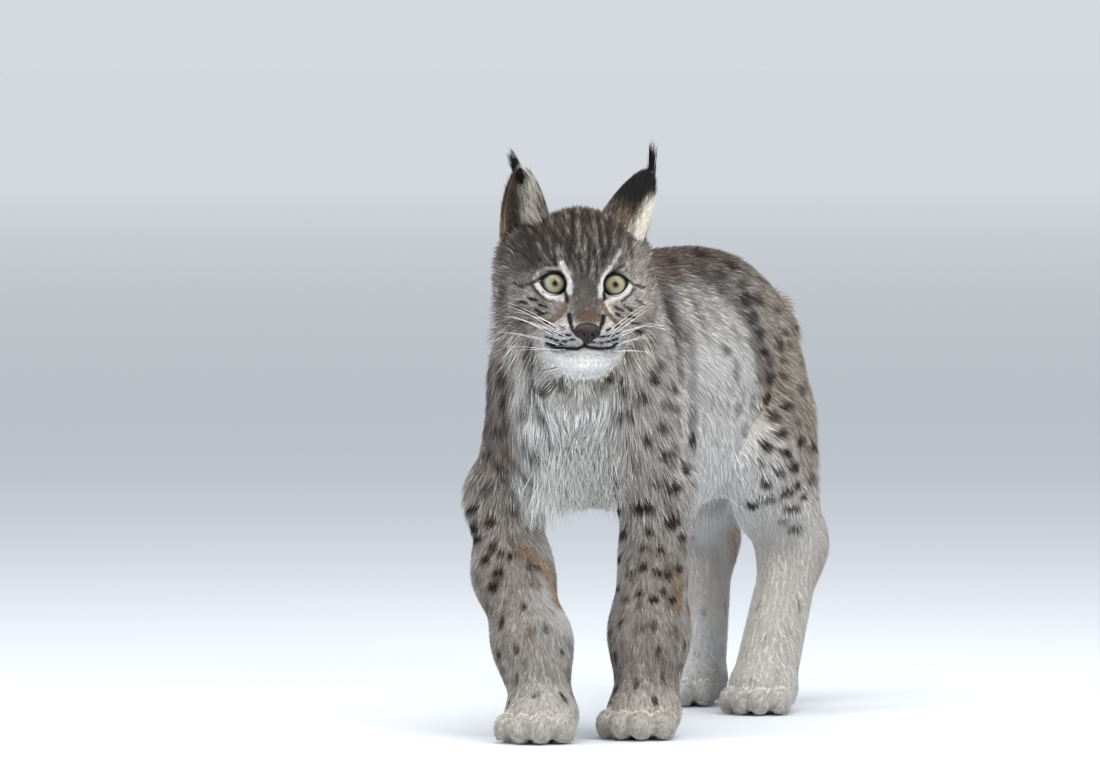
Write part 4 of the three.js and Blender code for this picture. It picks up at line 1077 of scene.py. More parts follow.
def paint_ears(places, level, inside, is_left):
    middle = np.where(is_left, 32 + 40 * level, -50 - 8 * level)
    across = (to_head(places)[:, 0] - middle) / 27  # from -1 at the viewer's left edge to 1 at the right one
    outside = TAWNY + (BLACK - TAWNY) * smoothstep(0.3, 0.62, level)[:, None]
    lay(outside, CREAM, smoothstep(0.05, 0.5, across) * smoothstep(0.8, 0.6, level) * is_left)
    pale = smoothstep(-0.35, 0.1, across) * smoothstep(0.9, 0.55, across) * smoothstep(0.02, 0.3, level)
    within = DARK_BROWN + (CREAM * 0.75 - DARK_BROWN) * (pale * 0.8)[:, None]
    lay(within, TAWNY, smoothstep(0.6, 0.9, np.abs(across)) * 0.8)
    return outside + (within - outside) * inside[:, None]


ear_points = (kinds == EAR_RIGHT) | (kinds == EAR_LEFT)
colours = paint(points)
colours[ear_points] = paint_ears(points, ear_level, ear_inside, kinds == EAR_LEFT)[ear_points]
above_eye = smoothstep(-4, 8, to_head(points)[:, 2] - EYE_RISE)
lid_black = (kinds == LID) & (lid_share < 0.03 + 0.14 * above_eye)
colours[lid_black] = BLACK

# %% [markdown]
# ## Meshes from arrays
# Hundreds of thousands of hairs can't be made with operators. Blender fills a mesh from whole arrays
# with foreach_set in a blink, so one helper makes each piece that way, in metres and in its place.

# %% A piece from arrays
def piece(name, points, faces, colours=None, smooth=True):
    mesh = bpy.data.meshes.new(name)
    mesh.vertices.add(len(points))
    mesh.vertices.foreach_set("co", ((points + MOVE) * 0.001).astype(np.float32).ravel())
    mesh.loops.add(len(faces) * 3)
    mesh.loops.foreach_set("vertex_index", faces.astype(np.int32).ravel())
    mesh.polygons.add(len(faces))
    mesh.polygons.foreach_set("loop_start", np.arange(0, len(faces) * 3, 3, dtype=np.int32))
    mesh.polygons.foreach_set("use_smooth", np.full(len(faces), smooth))
    if colours is not None:
        layer = mesh.color_attributes.new(name="coat_colour", type="FLOAT_COLOR", domain="POINT")
        rgba = np.concatenate([np.clip(colours, 0, 1), np.ones((len(colours), 1))], 1)
        layer.data.foreach_set("color", rgba.astype(np.float32).ravel())
    mesh.update(calc_edges=True)
    obj = bpy.data.objects.new(name, mesh)
    bpy.context.scene.collection.objects.link(obj)
    return obj


FLESH = [name for name in frame["nodes"] if name not in ("eye_left", "eye_right", "nose")]
skin_piece = piece("skin", points, faces, colours)
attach(skin_piece, "root")
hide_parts(*FLESH)
print("the skin replaces", len(FLESH), "nodes")

# %% [markdown]
# ## A map of the skin
# The coat gets a map in which each tuft has a small patch of its own, at its root's place on the skin
# laid flat. Blender's smart projection cuts the skin into pieces and lays them side by side.

# %% Unwrap the skin
bpy.ops.object.select_all(action="DESELECT")
bpy.context.view_layer.objects.active = skin_piece
skin_piece.select_set(True)
bpy.ops.object.mode_set(mode="EDIT")
bpy.ops.mesh.select_all(action="SELECT")
bpy.ops.uv.smart_project(angle_limit=math.radians(66), island_margin=0.002)
bpy.ops.object.mode_set(mode="OBJECT")
skin_map = np.empty(len(faces) * 6, np.float32)
skin_piece.data.uv_layers.active.data.foreach_get("uv", skin_map)
skin_map = skin_map.reshape(-1, 3, 2)
print("map of the skin from", skin_map.min((0, 1)).round(3), "to", skin_map.max((0, 1)).round(3))

# %% [markdown]
# ## Where tufts are rooted
# Short hair needs close roots and long hair covers more. Roots are drawn over the triangles in turn,
# each triangle getting its share, which spreads them more evenly than dice would.

# %% Roots
centres = points[faces].mean(1)
area = length_of(face_normals(points, faces)) / 2
face_kind = kinds[faces[:, 0]]
hair = hair_length(centres)
face_level, face_inside = ear_level[faces].mean(1), ear_inside[faces].mean(1)
on_ear = (face_kind == EAR_RIGHT) | (face_kind == EAR_LEFT)
hair[on_ear] = np.where(face_inside[on_ear] > 0.5, 9, 6.5)
spacing = np.interp(hair, [2, 4, 8, 13, 23, 40], [0.88, 1.02, 1.3, 1.57, 1.83, 2.2])
share = area / spacing**2
out_way = face_normals(points, faces)
below_floor = (centres[:, 2] < 2.5) | ((centres[:, 2] < 9) & (unit(out_way)[:, 2] < -0.7))
face_head = to_head(centres)
in_socket = np.zeros(len(faces), bool)
for side in (1, -1):
    off = face_head - np.array([side * EYE_SPREAD, 0, EYE_RISE])
    in_socket |= (face_kind == BODY) & (np.hypot(off[:, 0], off[:, 2]) < 15.5) & (off[:, 1] < 6)
mouth_gap = tube_round(MOUTH, 2.4)(face_head)
nose_gap = ball((0, -52, -42.5), (14, 14, 9.5))(face_head)
lid_high, lid_low = lid_share[faces].max(1), lid_share[faces].min(1)
lid_bare = (face_kind == LID) & ((lid_high < 0.2) | (lid_high == lid_low))
bare = below_floor | in_socket | (mouth_gap < 0) | (nose_gap < 0) | lid_bare
share[bare] = 0
total = share.sum()
ticks = np.cumsum(share)
picks = np.searchsorted(ticks, np.arange(int(total)) + rng.random(int(total)))
picks = np.minimum(picks, len(faces) - 1)
weights = rng.dirichlet((1, 1, 1), len(picks))
root = np.einsum("nk,nkd->nd", weights, points[faces[picks]])
root_normal = unit(np.einsum("nk,nkd->nd", weights, normals[faces[picks]]))
root_map = np.einsum("nk,nkd->nd", weights, skin_map[picks])
root_kind, root_level, root_inside = face_kind[picks], face_level[picks], face_inside[picks]
root_hair = hair_length(root)
print("roots:", len(root))

# %% [markdown]
# ## Combing and colouring the tufts
# Neighbouring hairs cling together. Roots in the same small cell share a sway and lean towards its
# middle, which gives the coat its locks. Each tuft takes the colour of the place that its outer end
# covers, with a darker root, and a dark or a pale tip here and there for the grizzled look.

# %% Comb
ONE_STEP = 13.0  # hair shorter than this, in millimetres, gets tufts of one step
TWO_STEP_SHARE = 0.2  # of the tufts of longer hair, that bend


def clumps(places, size, seed):
    cells = np.floor(places / size + 0.37).astype(np.int64)
    keys = (cells[:, 0] * 4001 + cells[:, 1]) * 4001 + cells[:, 2]
    _, index, count = np.unique(keys, return_inverse=True, return_counts=True)
    middle = np.stack([np.bincount(index, places[:, k]) / count for k in range(3)], 1)[index]
    sway = np.random.default_rng(seed).normal(size=(len(count), 3))[index]
    return middle - places, sway


lie = lie_of(root, root_normal)
for kind, name in ((EAR_RIGHT, "right"), (EAR_LEFT, "left")):
    lie[root_kind == kind] = unit(np.subtract(EARS[name]["tip"], EARS[name]["root"]) @ HEAD_AXES.T)
on_lid = root_kind == LID
lid_head = to_head(root[on_lid])
eye_side = np.sign(lid_head[:, 0])
out_of_eye = lid_head - np.stack([eye_side * EYE_SPREAD, 0 * eye_side, 0 * eye_side + EYE_RISE], 1)
out_of_eye[:, 1] = 2
lie[on_lid] = unit(out_of_eye) @ HEAD_AXES.T
on_ears = (root_kind == EAR_RIGHT) | (root_kind == EAR_LEFT)
root_hair[on_ears] = np.where(root_inside[on_ears] > 0.5, 12, 7)
root_hair[on_lid] = 2.6
long = root_hair * rng.uniform(0.75, 1.2, len(root))
pull_small, sway_small = clumps(root, 5.5, 1)
pull_large, sway_large = clumps(root, 15.0, 2)
loose = smoothstep(9, 30, root_hair)[:, None]
way = lie + rng.normal(size=root.shape) * 0.09 + sway_small * 0.07 + sway_large * (0.03 + 0.09 * loose)
way = unit(along_skin(way, root_normal))
gather = along_skin(pull_small * 0.35 + pull_large * 0.35 * loose, root_normal)
rise = rng.uniform(0.19, 0.27, len(root)) + 0.025 * sway_large[:, 0] * loose[:, 0]
rise = np.clip(rise, 0.14, 0.34)
wide = np.interp(root_hair, [2, 6, 12, 23, 40], [0.67, 0.79, 0.94, 1.1, 1.36])
wide *= rng.uniform(0.75, 1.25, len(root))

# %% Colour
long_way = way * long[:, None]
is_long = (root_hair >= ONE_STEP) & (rng.random(len(root)) < TWO_STEP_SHARE)
middle_colour = paint(root + long_way * 0.86 + gather * 0.84)
root_colour, tip_colour = middle_colour.copy(), middle_colour.copy()
root_colour[is_long] = middle_colour[is_long] = paint((root + long_way * 0.68 + gather * 0.6)[is_long])
tip_colour[is_long] = paint((root + long_way * 0.97 + gather)[is_long])
ear_colour = paint_ears(root, root_level, root_inside, root_kind == EAR_LEFT)
for tint in (root_colour, middle_colour, tip_colour):
    tint[on_ears] = ear_colour[on_ears]
brightness = tip_colour @ np.array([0.3, 0.5, 0.2])
rise *= 1 + 0.3 * smoothstep(0.09, 0.03, brightness) * loose[:, 0]  # dark hairs stand a little higher
grizzle = np.clip((0.85 - brightness) / 0.6, 0.1, 1) * np.clip(brightness / 0.05, 0.2, 1)
chance = rng.random(len(root)) + 0.12 * sway_small[:, 1]
tip_shade = np.where(chance < 0.3, 1 - 0.6 * grizzle, np.where(chance > 0.74, 1 + 1.1 * grizzle, 1.0))
_, streak = clumps(root, 3.2, 3)
speckle = 0.18 + 0.14 * smoothstep(120, 90, to_head(root)[:, 1])
shade = np.exp(grizzle * (speckle * streak[:, 0] + 0.13 * sway_small[:, 2] + 0.06 * sway_large[:, 1]))
root_colour *= (np.where(is_long, 0.6, 0.72) * shade)[:, None]
middle_colour *= shade[:, None]
tip_colour *= (shade * tip_shade)[:, None]

# %% [markdown]
# ## The shape of a tuft
# A tuft is a thin spike with three sides that leaves the skin at a low angle. Short hair and most of
# the long hair is one step long, which saves triangles, and the rest bends over halfway. The tips stay
# above the floor.

# %% Tufts as solid spikes
SIDES = np.array([[-0.5, 0.0], [0.5, 0.0], [0.0, 1.0]])  # across the tuft, and away from the skin
PATCH = 0.003  # the side of a tuft's patch in the map
LOWEST = 0.35  # no tuft comes closer to the floor than this, in millimetres


def tuft_mesh(chosen, steps):
    count = len(chosen)
    side = np.cross(root_normal[chosen], way[chosen])
    rings = [(-0.06, -0.03, 0.8), (0.5, 0.72, 0.85)][:steps]
    spots = []
    for t, height, full in rings:
        centre = (
            root[chosen]
            + way[chosen] * (long[chosen] * t)[:, None]
            + root_normal[chosen] * (long[chosen] * rise[chosen] * height - 0.3)[:, None]
            + gather[chosen] * max(t, 0) ** 1.2
        )
        for across, out in SIDES:
            spots.append(
                centre
                + side * (wide[chosen] * full * across)[:, None]
                + root_normal[chosen] * (wide[chosen] * 0.45 * full * out)[:, None]
            )
    tip = root[chosen] + way[chosen] * long[chosen][:, None]
    spots.append(tip + root_normal[chosen] * (long[chosen] * rise[chosen])[:, None] + gather[chosen])
    corners = len(spots)
    places = np.stack(spots, 1)
    tints = [root_colour[chosen]] * 3
    if steps == 2:
        tints += [middle_colour[chosen]] * 3
    tints.append(tip_colour[chosen])
    template, plan = [[0, 2, 1]], [[(0, 0), (0.5, 0.08), (1, 0)]]
    for k in range(3):
        a, b = k, (k + 1) % 3
        left, right = k / 3, (k + 1) / 3
        if steps == 2:
            template += [[a, b, b + 3], [a, b + 3, a + 3], [a + 3, b + 3, 6]]
            plan += [[(left, 0.1), (right, 0.1), (right, 0.5)], [(left, 0.1), (right, 0.5), (left, 0.5)]]
            plan += [[(left, 0.5), (right, 0.5), ((left + right) / 2, 1)]]
        else:
            template += [[a, b, 3]]
            plan += [[(left, 0.1), (right, 0.1), ((left + right) / 2, 1)]]
    template = np.array(template)
    tuft_faces = (np.arange(count)[:, None, None] * corners + template).reshape(-1, 3)
    flat = (root_map[chosen][:, None, None] + (np.array(plan) - 0.5) * PATCH).reshape(-1, 2)
    places = places.reshape(-1, 3)
    places[:, 2] = np.maximum(places[:, 2], LOWEST)
    return places, tuft_faces, np.stack(tints, 1).reshape(-1, 3), flat


def coat_piece(name, chosen):
    groups = ((1, chosen[~is_long[chosen]]), (2, chosen[is_long[chosen]]))
    parts = [tuft_mesh(part, steps) for steps, part in groups if len(part)]
    starts = np.cumsum([0] + [len(part[0]) for part in parts])
    coat_faces = np.concatenate([part[1] + start for part, start in zip(parts, starts)])
    places, tints, flat = (np.concatenate([part[k] for part in parts]) for k in (0, 2, 3))
    coat = piece(name, places, coat_faces, tints)
    layer = coat.data.uv_layers.new(name="OFBake")
    layer.data.foreach_set("uv", np.clip(flat, 0, 1).astype(np.float32).ravel())
    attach(coat, "root")
    print(name, "tufts:", len(chosen), "triangles:", len(coat.data.polygons))
    return coat


head_of_root, back_place = to_head(root), root[:, 1]
is_head = (head_of_root[:, 1] < 100) & (length_of(head_of_root - NOSE_TIP) < 190)
is_leg = ~is_head & (root[:, 2] < 225)
is_left, on_body = root[:, 0] > 0, ~is_head & ~is_leg
foreleg, foreleg_left = is_leg & (back_place < 10), (root[:, 0] > 22) | (back_place > -120)
hindleg = is_leg & (back_place >= 10)
flank = on_body & (back_place >= -190) & (back_place < 40)
haunch = on_body & (back_place >= 40) & (back_place < 215)
regions = {
    "coat_face": is_head & (head_of_root[:, 1] < 20),
    "coat_head": is_head & (head_of_root[:, 1] >= 20),
    "coat_foreleg_left": foreleg & foreleg_left,
    "coat_foreleg_right": foreleg & ~foreleg_left,
    "coat_hindleg_left": hindleg & is_left,
    "coat_hindleg_right": hindleg & ~is_left,
    "coat_chest": on_body & (back_place < -190),
    "coat_flank_left": flank & is_left,
    "coat_flank_right": flank & ~is_left,
    "coat_haunch_left": haunch & is_left,
    "coat_haunch_right": haunch & ~is_left,
    "coat_rump": on_body & (back_place >= 215),
}
coats = [coat_piece(name, np.nonzero(where)[0]) for name, where in regions.items()]

# %% [markdown]
# ## Long hair of the ears and the chest, and whiskers
# Each ear ends in a brush of long black hairs, and pale strands stand in front of its cup. A fringe
# hangs between the forelegs. Whiskers are single stiff hairs. All of them are thin tapered tubes along
# a bent line.

# %% Tapered hairs
def hairs(name, paths, radii, colours_of, sides=3):
    all_points, all_faces, all_colours = [], [], []
    start = 0
    for path, radius, (low_colour, high_colour) in zip(paths, radii, colours_of):
        steps = len(path)
        tangent = unit(np.gradient(path, axis=0))
        helper = np.array([0.3, 0.5, 0.8])
        a = unit(np.cross(tangent, helper))
        b = np.cross(tangent, a)
        ring = []
        for k in range(sides):
            angle = 2 * math.pi * k / sides
            size = radius * (1 - np.linspace(0, 1, steps) ** 1.6 * 0.9)
            ring.append(path + (a * math.cos(angle) + b * math.sin(angle)) * size[:, None])
        grid = np.stack(ring, 1).reshape(-1, 3)
        own = rings_to_faces(steps, sides, False)
        last = (steps - 1) * sides
        fan = range(1, sides - 1)
        caps = [[0, k + 1, k] for k in fan] + [[last, last + k, last + k + 1] for k in fan]
        own = np.concatenate([own, np.array(caps)])
        all_points.append(grid)
        all_faces.append(own + start)
        t = np.repeat(np.linspace(0, 1, steps), sides)[:, None]
        all_colours.append(low_colour + (high_colour - low_colour) * t)
        start += len(grid)
    return piece(name, np.concatenate(all_points), np.concatenate(all_faces), np.concatenate(all_colours))


def bent(start, way, length, fall, steps=7):
    t = np.linspace(0, 1, steps)[:, None]
    return np.array(start) + unit(np.array(way, float)) * length * t + np.array(fall) * length * t * t


BRUSHES = [  # the tip of the ear, the way its brush points and the length of its hairs
    ((-58, 66, 113), (-0.45, -0.05, 0.9), 27),
    ((72, 70, 113), (0.02, 0, 1.0), 35),
]
BRUSH_HAIRS, RIGHT_FRINGE_HAIRS, LEFT_FRINGE_HAIRS, CHEST_HAIRS, WHISKERS = 90, 260, 220, 1700, 10

paths, radii, tints = [], [], []
for tip, brush, size in BRUSHES:
    for _ in range(BRUSH_HAIRS):
        back = rng.uniform(0, 1)
        start = np.array(tip) + np.array([rng.normal() * 1.6, rng.normal() * 1.6, -13 * back])
        way_up = np.array(brush) + rng.normal(size=3) * 0.045
        paths.append(from_head(bent(start, way_up, size * rng.uniform(0.55, 1.0) + 8 * back, (0, 0.02, 0))))
        radii.append(0.55)
        tints.append((BLACK, BLACK))
ear_brushes = hairs("ear_brushes", paths, radii, tints)

paths, radii, tints = [], [], []
for _ in range(RIGHT_FRINGE_HAIRS):
    u, v = rng.uniform(0, 1), rng.uniform(0, 1)
    start = np.array([-29 - 16 * u, 50 + 12 * v, 44 + 50 * u])
    way_up = np.array([-0.7 + 0.3 * u, -0.1, 0.7]) + rng.normal(size=3) * 0.16
    paths.append(from_head(bent(start, way_up, (40 - 24 * u) * rng.uniform(0.5, 1.0), (0.05, 0.1, 0.12))))
    radii.append(0.42)
    tints.append((DARK_BROWN, CREAM * rng.uniform(0.35, 0.95)))
for _ in range(LEFT_FRINGE_HAIRS):
    u = rng.uniform(0, 1)
    start = np.array([48 + 26 * u + 6 * rng.normal() * (1 - u), 50 + 14 * u, 40 + 50 * u])
    way_up = np.array([0.35, 0.15, 0.95]) + rng.normal(size=3) * 0.12
    paths.append(from_head(bent(start, way_up, (32 - 14 * u) * rng.uniform(0.6, 1.0), (-0.1, 0, 0.05))))
    radii.append(0.45)
    tints.append((TAWNY, CREAM * rng.uniform(0.5, 1.0)))
ear_fringes = hairs("ear_fringes", paths, radii, tints)

paths, radii, tints = [], [], []
columns = rng.triangular(530, 580, 622, CHEST_HAIRS)
hang = 12 + 26 * (np.abs(columns - 590) / 45) ** 1.3
starts, met = seen(np.stack([columns, 436 + 66 * np.sqrt(rng.random(CHEST_HAIRS))], 1))
for start, length in zip(starts[met], hang[met]):
    way_down = -UP + 0.2 * rng.normal(size=3)
    length = length * rng.uniform(0.35, 1.15)
    paths.append(bent(start + FORWARD * 5, way_down, length, 0.08 * rng.normal(size=3), 5))
    radii.append(0.5)
    shade_of = rng.uniform(0.75, 1.1)
    tints.append((CHEST_WHITE * 0.65 * shade_of, CHEST_WHITE * 0.92 * shade_of))
chest_fringe = hairs("chest_fringe", paths, radii, tints)

paths, radii, tints = [], [], []
for side in (1, -1):
    for k in range(WHISKERS):
        level, place = k % 4, 1 + k // 4
        start = onto(HEAD, np.array([[side * (16 + 4.6 * place), -52 + 3 * place, -43 - 4.6 * level]]))[0]
        out, back, up = rng.random(3)
        end = np.array([side * (70 + 12 * out) - 3, 6 + 30 * back, -26 - 16 * level + 14 * up])
        t = np.linspace(0, 1, 12)[:, None]
        knee = (start + end) / 2 + np.array([side * 10, -14, 12 - 3 * level])
        paths.append(from_head((1 - t) ** 2 * start + 2 * t * (1 - t) * knee + t * t * end))
        radii.append(0.2)
        tints.append((WHITE, WHITE))
whiskers = hairs("whiskers", paths, radii, tints, 4)
strands = (ear_brushes, ear_fringes, chest_fringe, whiskers)
for obj in strands:
    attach(obj, "root")
print("whiskers and long hair:", sum(len(obj.data.polygons) for obj in strands), "triangles")

# %% [markdown]
# ## The nose
# The pad of the nose is bare, pebbled skin with a comma-shaped nostril on each side. It is a small
# distance of its own: three balls, less two bent tubes.

# %% Nose pad
NOSTRIL = [(12.5, -57, -44), (8, -61, -41.2), (4.6, -62.5, -43), (4.4, -57, -46)]
NOSE_PAD = joined(
    [
        (ball((0, -49.5, -40), (12, 12.4, 8.0)), 1),
        *mirrored(7.5, -51, -42, 5.6, 9.6, 6.4, 4),
        (ball((0, -52, -48), (5.4, 8.4, 6)), 5),
    ]
)


def nose_distance(points):
    pad = NOSE_PAD(points)
    for side in (1, -1):
        hole = tube_round([(side * x, y, z) for x, y, z in NOSTRIL], 1.75)(points)
        pad = np.maximum(pad, -hole)
    crease = np.maximum(np.maximum(np.abs(points[:, 0]) - 0.4, points[:, 1] + 55), points[:, 2] + 45)
    return np.maximum(pad, -crease)


nose_points, nose_faces = net(nose_distance, (-17, -66, -56), (17, -34, -29), 0.8)
nose_points = onto(nose_distance, nose_points, step=0.3, rounds=2, most=0.4)
nose = piece("nose_pad", from_head(nose_points), nose_faces)
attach(nose, "root")
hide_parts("nose")
print("nose:", len(nose_faces), "triangles")

# %% [markdown]
# ## The eyes
# An eyeball is a sphere with a bulge for the clear cornea. A lynx has a large pale iris with a dark
# rim and, in daylight, a small round pupil. A sphere is added with its pole along the line of sight and
# its front is drawn out. Each point keeps its direction from the middle of the ball for the material.

# %% Eyeballs
eyes = []
for name, side in (("left", 1), ("right", -1)):
    bpy.ops.object.select_all(action="DESELECT")
    bpy.ops.mesh.primitive_uv_sphere_add(segments=96, ring_count=64, radius=1)
    eye = bpy.context.object
    eye.name = eye.data.name = "eyeball_" + name
    coords = np.empty(len(eye.data.vertices) * 3)
    eye.data.vertices.foreach_get("co", coords)
    local = coords.reshape(-1, 3)
    bulge = 1 + 0.055 * smoothstep(0.62, 0.95, local[:, 2])
    sight = unit(np.array([0.045, -1, 0.0]))
    across = unit(np.cross(sight, [0, 0, 1.0]))
    up = np.cross(across, sight)
    placed = local[:, :1] * across + local[:, 1:2] * up + local[:, 2:] * sight
    placed = placed * (EYE_RADIUS * bulge)[:, None] + np.array([side * EYE_SPREAD, 0, EYE_RISE])
    eye.data.vertices.foreach_set("co", ((from_head(placed) + MOVE) * 0.001).ravel())
    gaze = eye.data.attributes.new("gaze", "FLOAT_VECTOR", "POINT")
    gaze.data.foreach_set("vector", local.astype(np.float32).ravel())
    bpy.ops.object.shade_smooth()
    eye.data.update()
    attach(eye, "root")
    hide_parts("eye_" + name)
    eyes.append(eye)
print("eyes:", [len(eye.data.polygons) for eye in eyes], "faces")

# %% [markdown]
# ## Finishes
# Shader maths reads best as plain expressions. A small class wraps a socket, so that a + b adds a Math
# node, and any other node comes from one method.

# %% Wires
class Wire:
    def __init__(self, tree, socket):
        self.tree, self.socket = tree, socket

    def node(self, kind, settings=None, outlet=0, **inputs):
        made = self.tree.nodes.new(kind)
        for key, value in (settings or {}).items():
            setattr(made, key, value)
        for key, value in inputs.items():
            slot = made.inputs[int(key[1:])] if key[1:].isdigit() else made.inputs[key.replace("_", " ")]
            if isinstance(value, Wire):
                self.tree.links.new(value.socket, slot)
            else:
                slot.default_value = value
        return Wire(self.tree, made.outputs[outlet])

    def maths(self, operation, *values):
        inputs = {f"i{k}": value for k, value in enumerate(values)}
        return self.node("ShaderNodeMath", {"operation": operation}, **inputs)

    def __add__(self, other):
        return self.maths("ADD", self, other)

    def __mul__(self, other):
        return self.maths("MULTIPLY", self, other)

    def __sub__(self, other):
        return self.maths("SUBTRACT", self, other)

    def __rsub__(self, other):
        return self.maths("SUBTRACT", other, self)

    __radd__, __rmul__ = __add__, __mul__

    def mixed(self, first, second):
        made = self.node("ShaderNodeMix", {"data_type": "RGBA"}, 2)
        mix = made.socket.node
        for slot, value in ((mix.inputs[0], self), (mix.inputs[6], first), (mix.inputs[7], second)):
            if isinstance(value, Wire):
                self.tree.links.new(value.socket, slot)
            else:
                slot.default_value = (*value, 1.0)
        return made


def finish(name, **constants):
    material = bpy.data.materials.new(name)
    material.use_nodes = True
    tree = material.node_tree
    shader = tree.nodes["Principled BSDF"]
    for key, value in constants.items():
        shader.inputs[key.replace("_", " ")].default_value = value
    return material, shader, Wire(tree, None)


def feed(shader, name, wire):
    wire.tree.links.new(wire.socket, shader.inputs[name])


# %% [markdown]
# The hair of the coat is matt with a faint sheen, and its colour is the one painted on each tuft. The
# skin below wears the same paint, broken up by a fine noise, with a bump of short hair.

# %% Coat and skin
coat_finish, shader, wires = finish("coat_hair", Roughness=0.72, Specular_IOR_Level=0.25)
feed(shader, "Base Color", wires.node("ShaderNodeAttribute", {"attribute_name": "coat_colour"}))
for coat in (*coats, ear_brushes, ear_fringes, chest_fringe):
    coat.data.materials.append(coat_finish)

skin_finish, shader, wires = finish("coat_skin", Roughness=0.8, Specular_IOR_Level=0.2)
place = wires.node("ShaderNodeTexCoord", outlet=3)
fine = wires.node("ShaderNodeTexNoise", Vector=place, Scale=420.0, Detail=3.0)
paint_wire = wires.node("ShaderNodeAttribute", {"attribute_name": "coat_colour"})
deeper = wires.node("ShaderNodeVectorMath", {"operation": "SCALE"}, Vector=paint_wire, Scale=0.45)
feed(shader, "Base Color", fine.mixed(deeper, paint_wire))
bump = wires.node("ShaderNodeBump", Height=fine, Strength=0.5, Distance=0.0006)
feed(shader, "Normal", bump)
skin_piece.data.materials.append(skin_finish)

whisker_finish, shader, wires = finish("whisker_hair", Roughness=0.35)
shader.inputs["Base Color"].default_value = (*tone(244, 242, 236), 1)
whiskers.data.materials.append(whisker_finish)

# %% Nose
nose_finish, shader, wires = finish("nose_leather", Roughness=0.5, Specular_IOR_Level=0.25)
place = wires.node("ShaderNodeTexCoord", outlet=3)
pebbles = wires.node("ShaderNodeTexVoronoi", Vector=place, Scale=950.0)
cloud = wires.node("ShaderNodeTexNoise", Vector=place, Scale=160.0, Detail=2.0)
feed(shader, "Base Color", cloud.mixed(tone(22, 17, 17), tone(48, 38, 38)))
feed(shader, "Normal", wires.node("ShaderNodeBump", Height=pebbles, Strength=0.6, Distance=0.0003))
nose.data.materials.append(nose_finish)

# %% [markdown]
# The iris is painted by the angle from the line of sight: pupil, a brownish ring, pale olive with
# fibres, a grey edge and a dark rim. Its upper part is darkened as painted shade of the upper lid.
# A clear coat gives the wet gloss of the cornea.

# %% Iris
IRIS = math.sin(math.radians(52))
eye_finish, shader, wires = finish(
    "eye_gloss", Roughness=0.3, Specular_IOR_Level=0.15, Coat_Weight=0.35, Coat_Roughness=0.04
)
gaze = wires.node("ShaderNodeAttribute", {"attribute_name": "gaze"}, 1)
parts = gaze.node("ShaderNodeSeparateXYZ", Vector=gaze).socket.node
x, y, z = (Wire(gaze.tree, parts.outputs[k]) for k in range(3))
reach = gaze.maths("SQRT", x * x + y * y) * (1 / IRIS)
front = gaze.maths("GREATER_THAN", z, 0.0)
angle = gaze.maths("ARCTAN2", y, x)
fibre_place = gaze.node("ShaderNodeCombineXYZ", X=angle * 7.0, Y=reach * 2.5)
fibres = gaze.node("ShaderNodeTexNoise", Vector=fibre_place, Scale=2.2, Detail=4.0)
ripple = reach + (fibres - 0.5) * 0.07
ramp = gaze.node("ShaderNodeValToRGB", Fac=ripple)
stops = [
    (0.0, (4, 4, 4)),
    (0.18, (4, 4, 4)),
    (0.22, (84, 70, 46)),
    (0.36, (132, 122, 92)),
    (0.6, (146, 141, 114)),
    (0.74, (120, 120, 104)),
    (0.84, (70, 76, 80)),
    (0.95, (22, 24, 28)),
]
elements = ramp.socket.node.color_ramp.elements
elements.remove(elements[1])
elements[0].position, elements[0].color = stops[0][0], (*tone(*stops[0][1]), 1)
for place_on_ramp, colour in stops[1:]:
    elements.new(place_on_ramp).color = (*tone(*colour), 1)
height = y * (1 / IRIS)
# Painted shade: the iris is darkened towards its top, as if the upper lid shaded it
painted_lid_shade = height.node("ShaderNodeMapRange", Value=height, i1=0.0, i2=0.9, i3=1.0, i4=0.5)
brightness = (fibres * 0.9 + 0.55) * painted_lid_shade
fibres_and_painted_lid_shade = gaze.node("ShaderNodeVectorMath", {"operation": "SCALE"}, Vector=ramp, Scale=brightness)
feed(shader, "Base Color", front.mixed(tuple(tone(20, 16, 15)), fibres_and_painted_lid_shade))
for eye in eyes:
    eye.data.materials.append(eye_finish)

# %% [markdown]
# ## Floor, light and camera
# A wide pale floor that grows as pale as the sky far off, and soft lamps overhead, in front and at the
# side, give the even light of an overcast day. The camera looks from the picture's side and height.

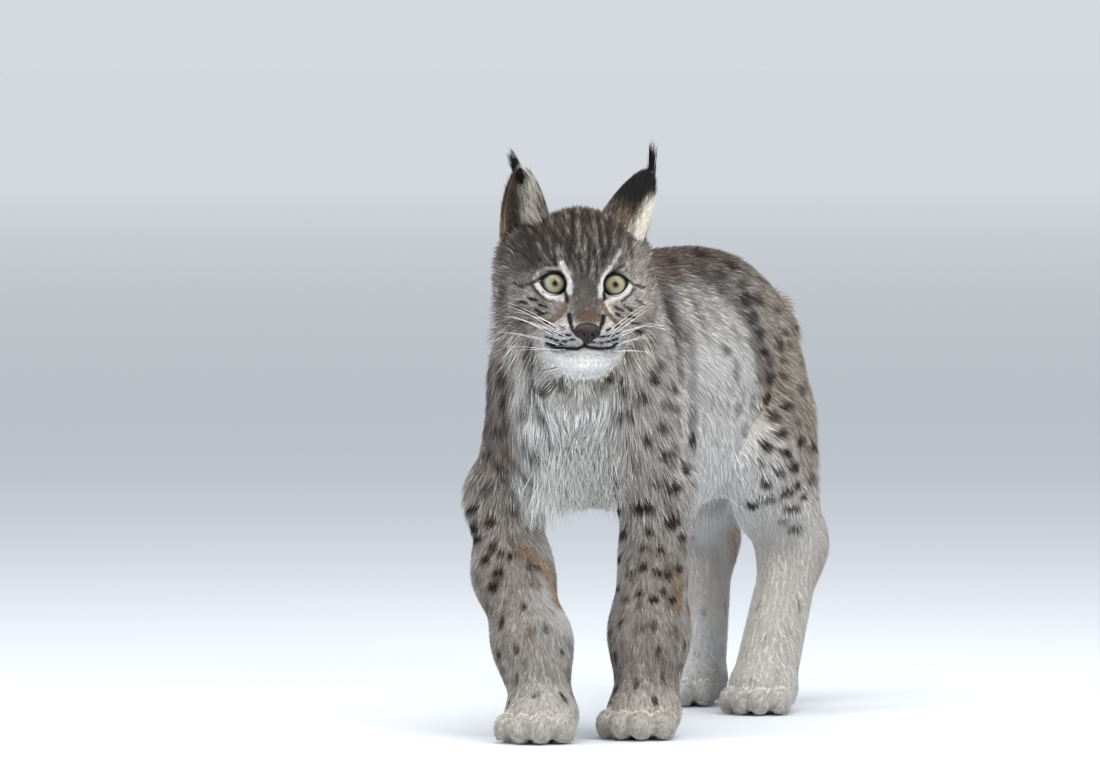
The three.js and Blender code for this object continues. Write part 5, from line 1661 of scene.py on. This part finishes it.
# %% Floor
FLOOR_RADIUS = 80
DARKER_TO, PALE_FROM = 5.0, 26.0  # metres from the animal

bpy.ops.mesh.primitive_circle_add(vertices=96, radius=FLOOR_RADIUS, fill_type="NGON")
floor = bpy.context.object
floor.name = "floor"
floor_finish, shader, wires = finish("pale_floor", Roughness=0.95)
place = wires.node("ShaderNodeTexCoord", outlet=3)
away = wires.node("ShaderNodeVectorMath", {"operation": "LENGTH"}, 1, Vector=place)
far = wires.node("ShaderNodeMapRange", i0=away, i1=DARKER_TO, i2=PALE_FROM)
feed(shader, "Base Color", far.mixed((0.62, 0.64, 0.67), (0.98, 0.98, 0.98)))
floor.data.materials.append(floor_finish)

# %% Light
LIT_PLACE = (0, 0, 0.3)

world = bpy.data.worlds.new("soft_sky")
world.use_nodes = True
world.node_tree.nodes["Background"].inputs[0].default_value = (0.9, 0.95, 1.0, 1)
world.node_tree.nodes["Background"].inputs[1].default_value = 0.74
bpy.context.scene.world = world
for name, place, size, power in (
    ("overhead", (0.4, -0.8, 2.8), 2.8, 105),
    ("front", (3.6, -2.0, 1.8), 2.2, 100),
    ("side", (-2.4, -2.4, 1.6), 1.8, 56),
):
    lamp = bpy.data.lights.new(name, "AREA")
    lamp.energy, lamp.size = power, size
    holder = bpy.data.objects.new(name, lamp)
    bpy.context.scene.collection.objects.link(holder)
    holder.location = place
    holder.rotation_mode = "QUATERNION"
    holder.rotation_quaternion = (Vector(place) - Vector(LIT_PLACE)).to_track_quat("Z", "Y")

# %% Camera
lens = bpy.data.cameras.new("camera")
lens.lens, lens.sensor_width, lens.clip_end = LENS, SENSOR, 100
camera = bpy.data.objects.new("camera", lens)
bpy.context.scene.collection.objects.link(camera)
turned = Matrix([[RIGHT[k], UP[k], -FORWARD[k]] for k in range(3)]).to_4x4()
camera.matrix_world = Matrix.Translation((CAMERA + MOVE) * 0.001) @ turned
bpy.context.scene.camera = camera
bpy.context.scene.view_settings.view_transform = "Standard"
print("camera at", [round(v, 3) for v in camera.location])
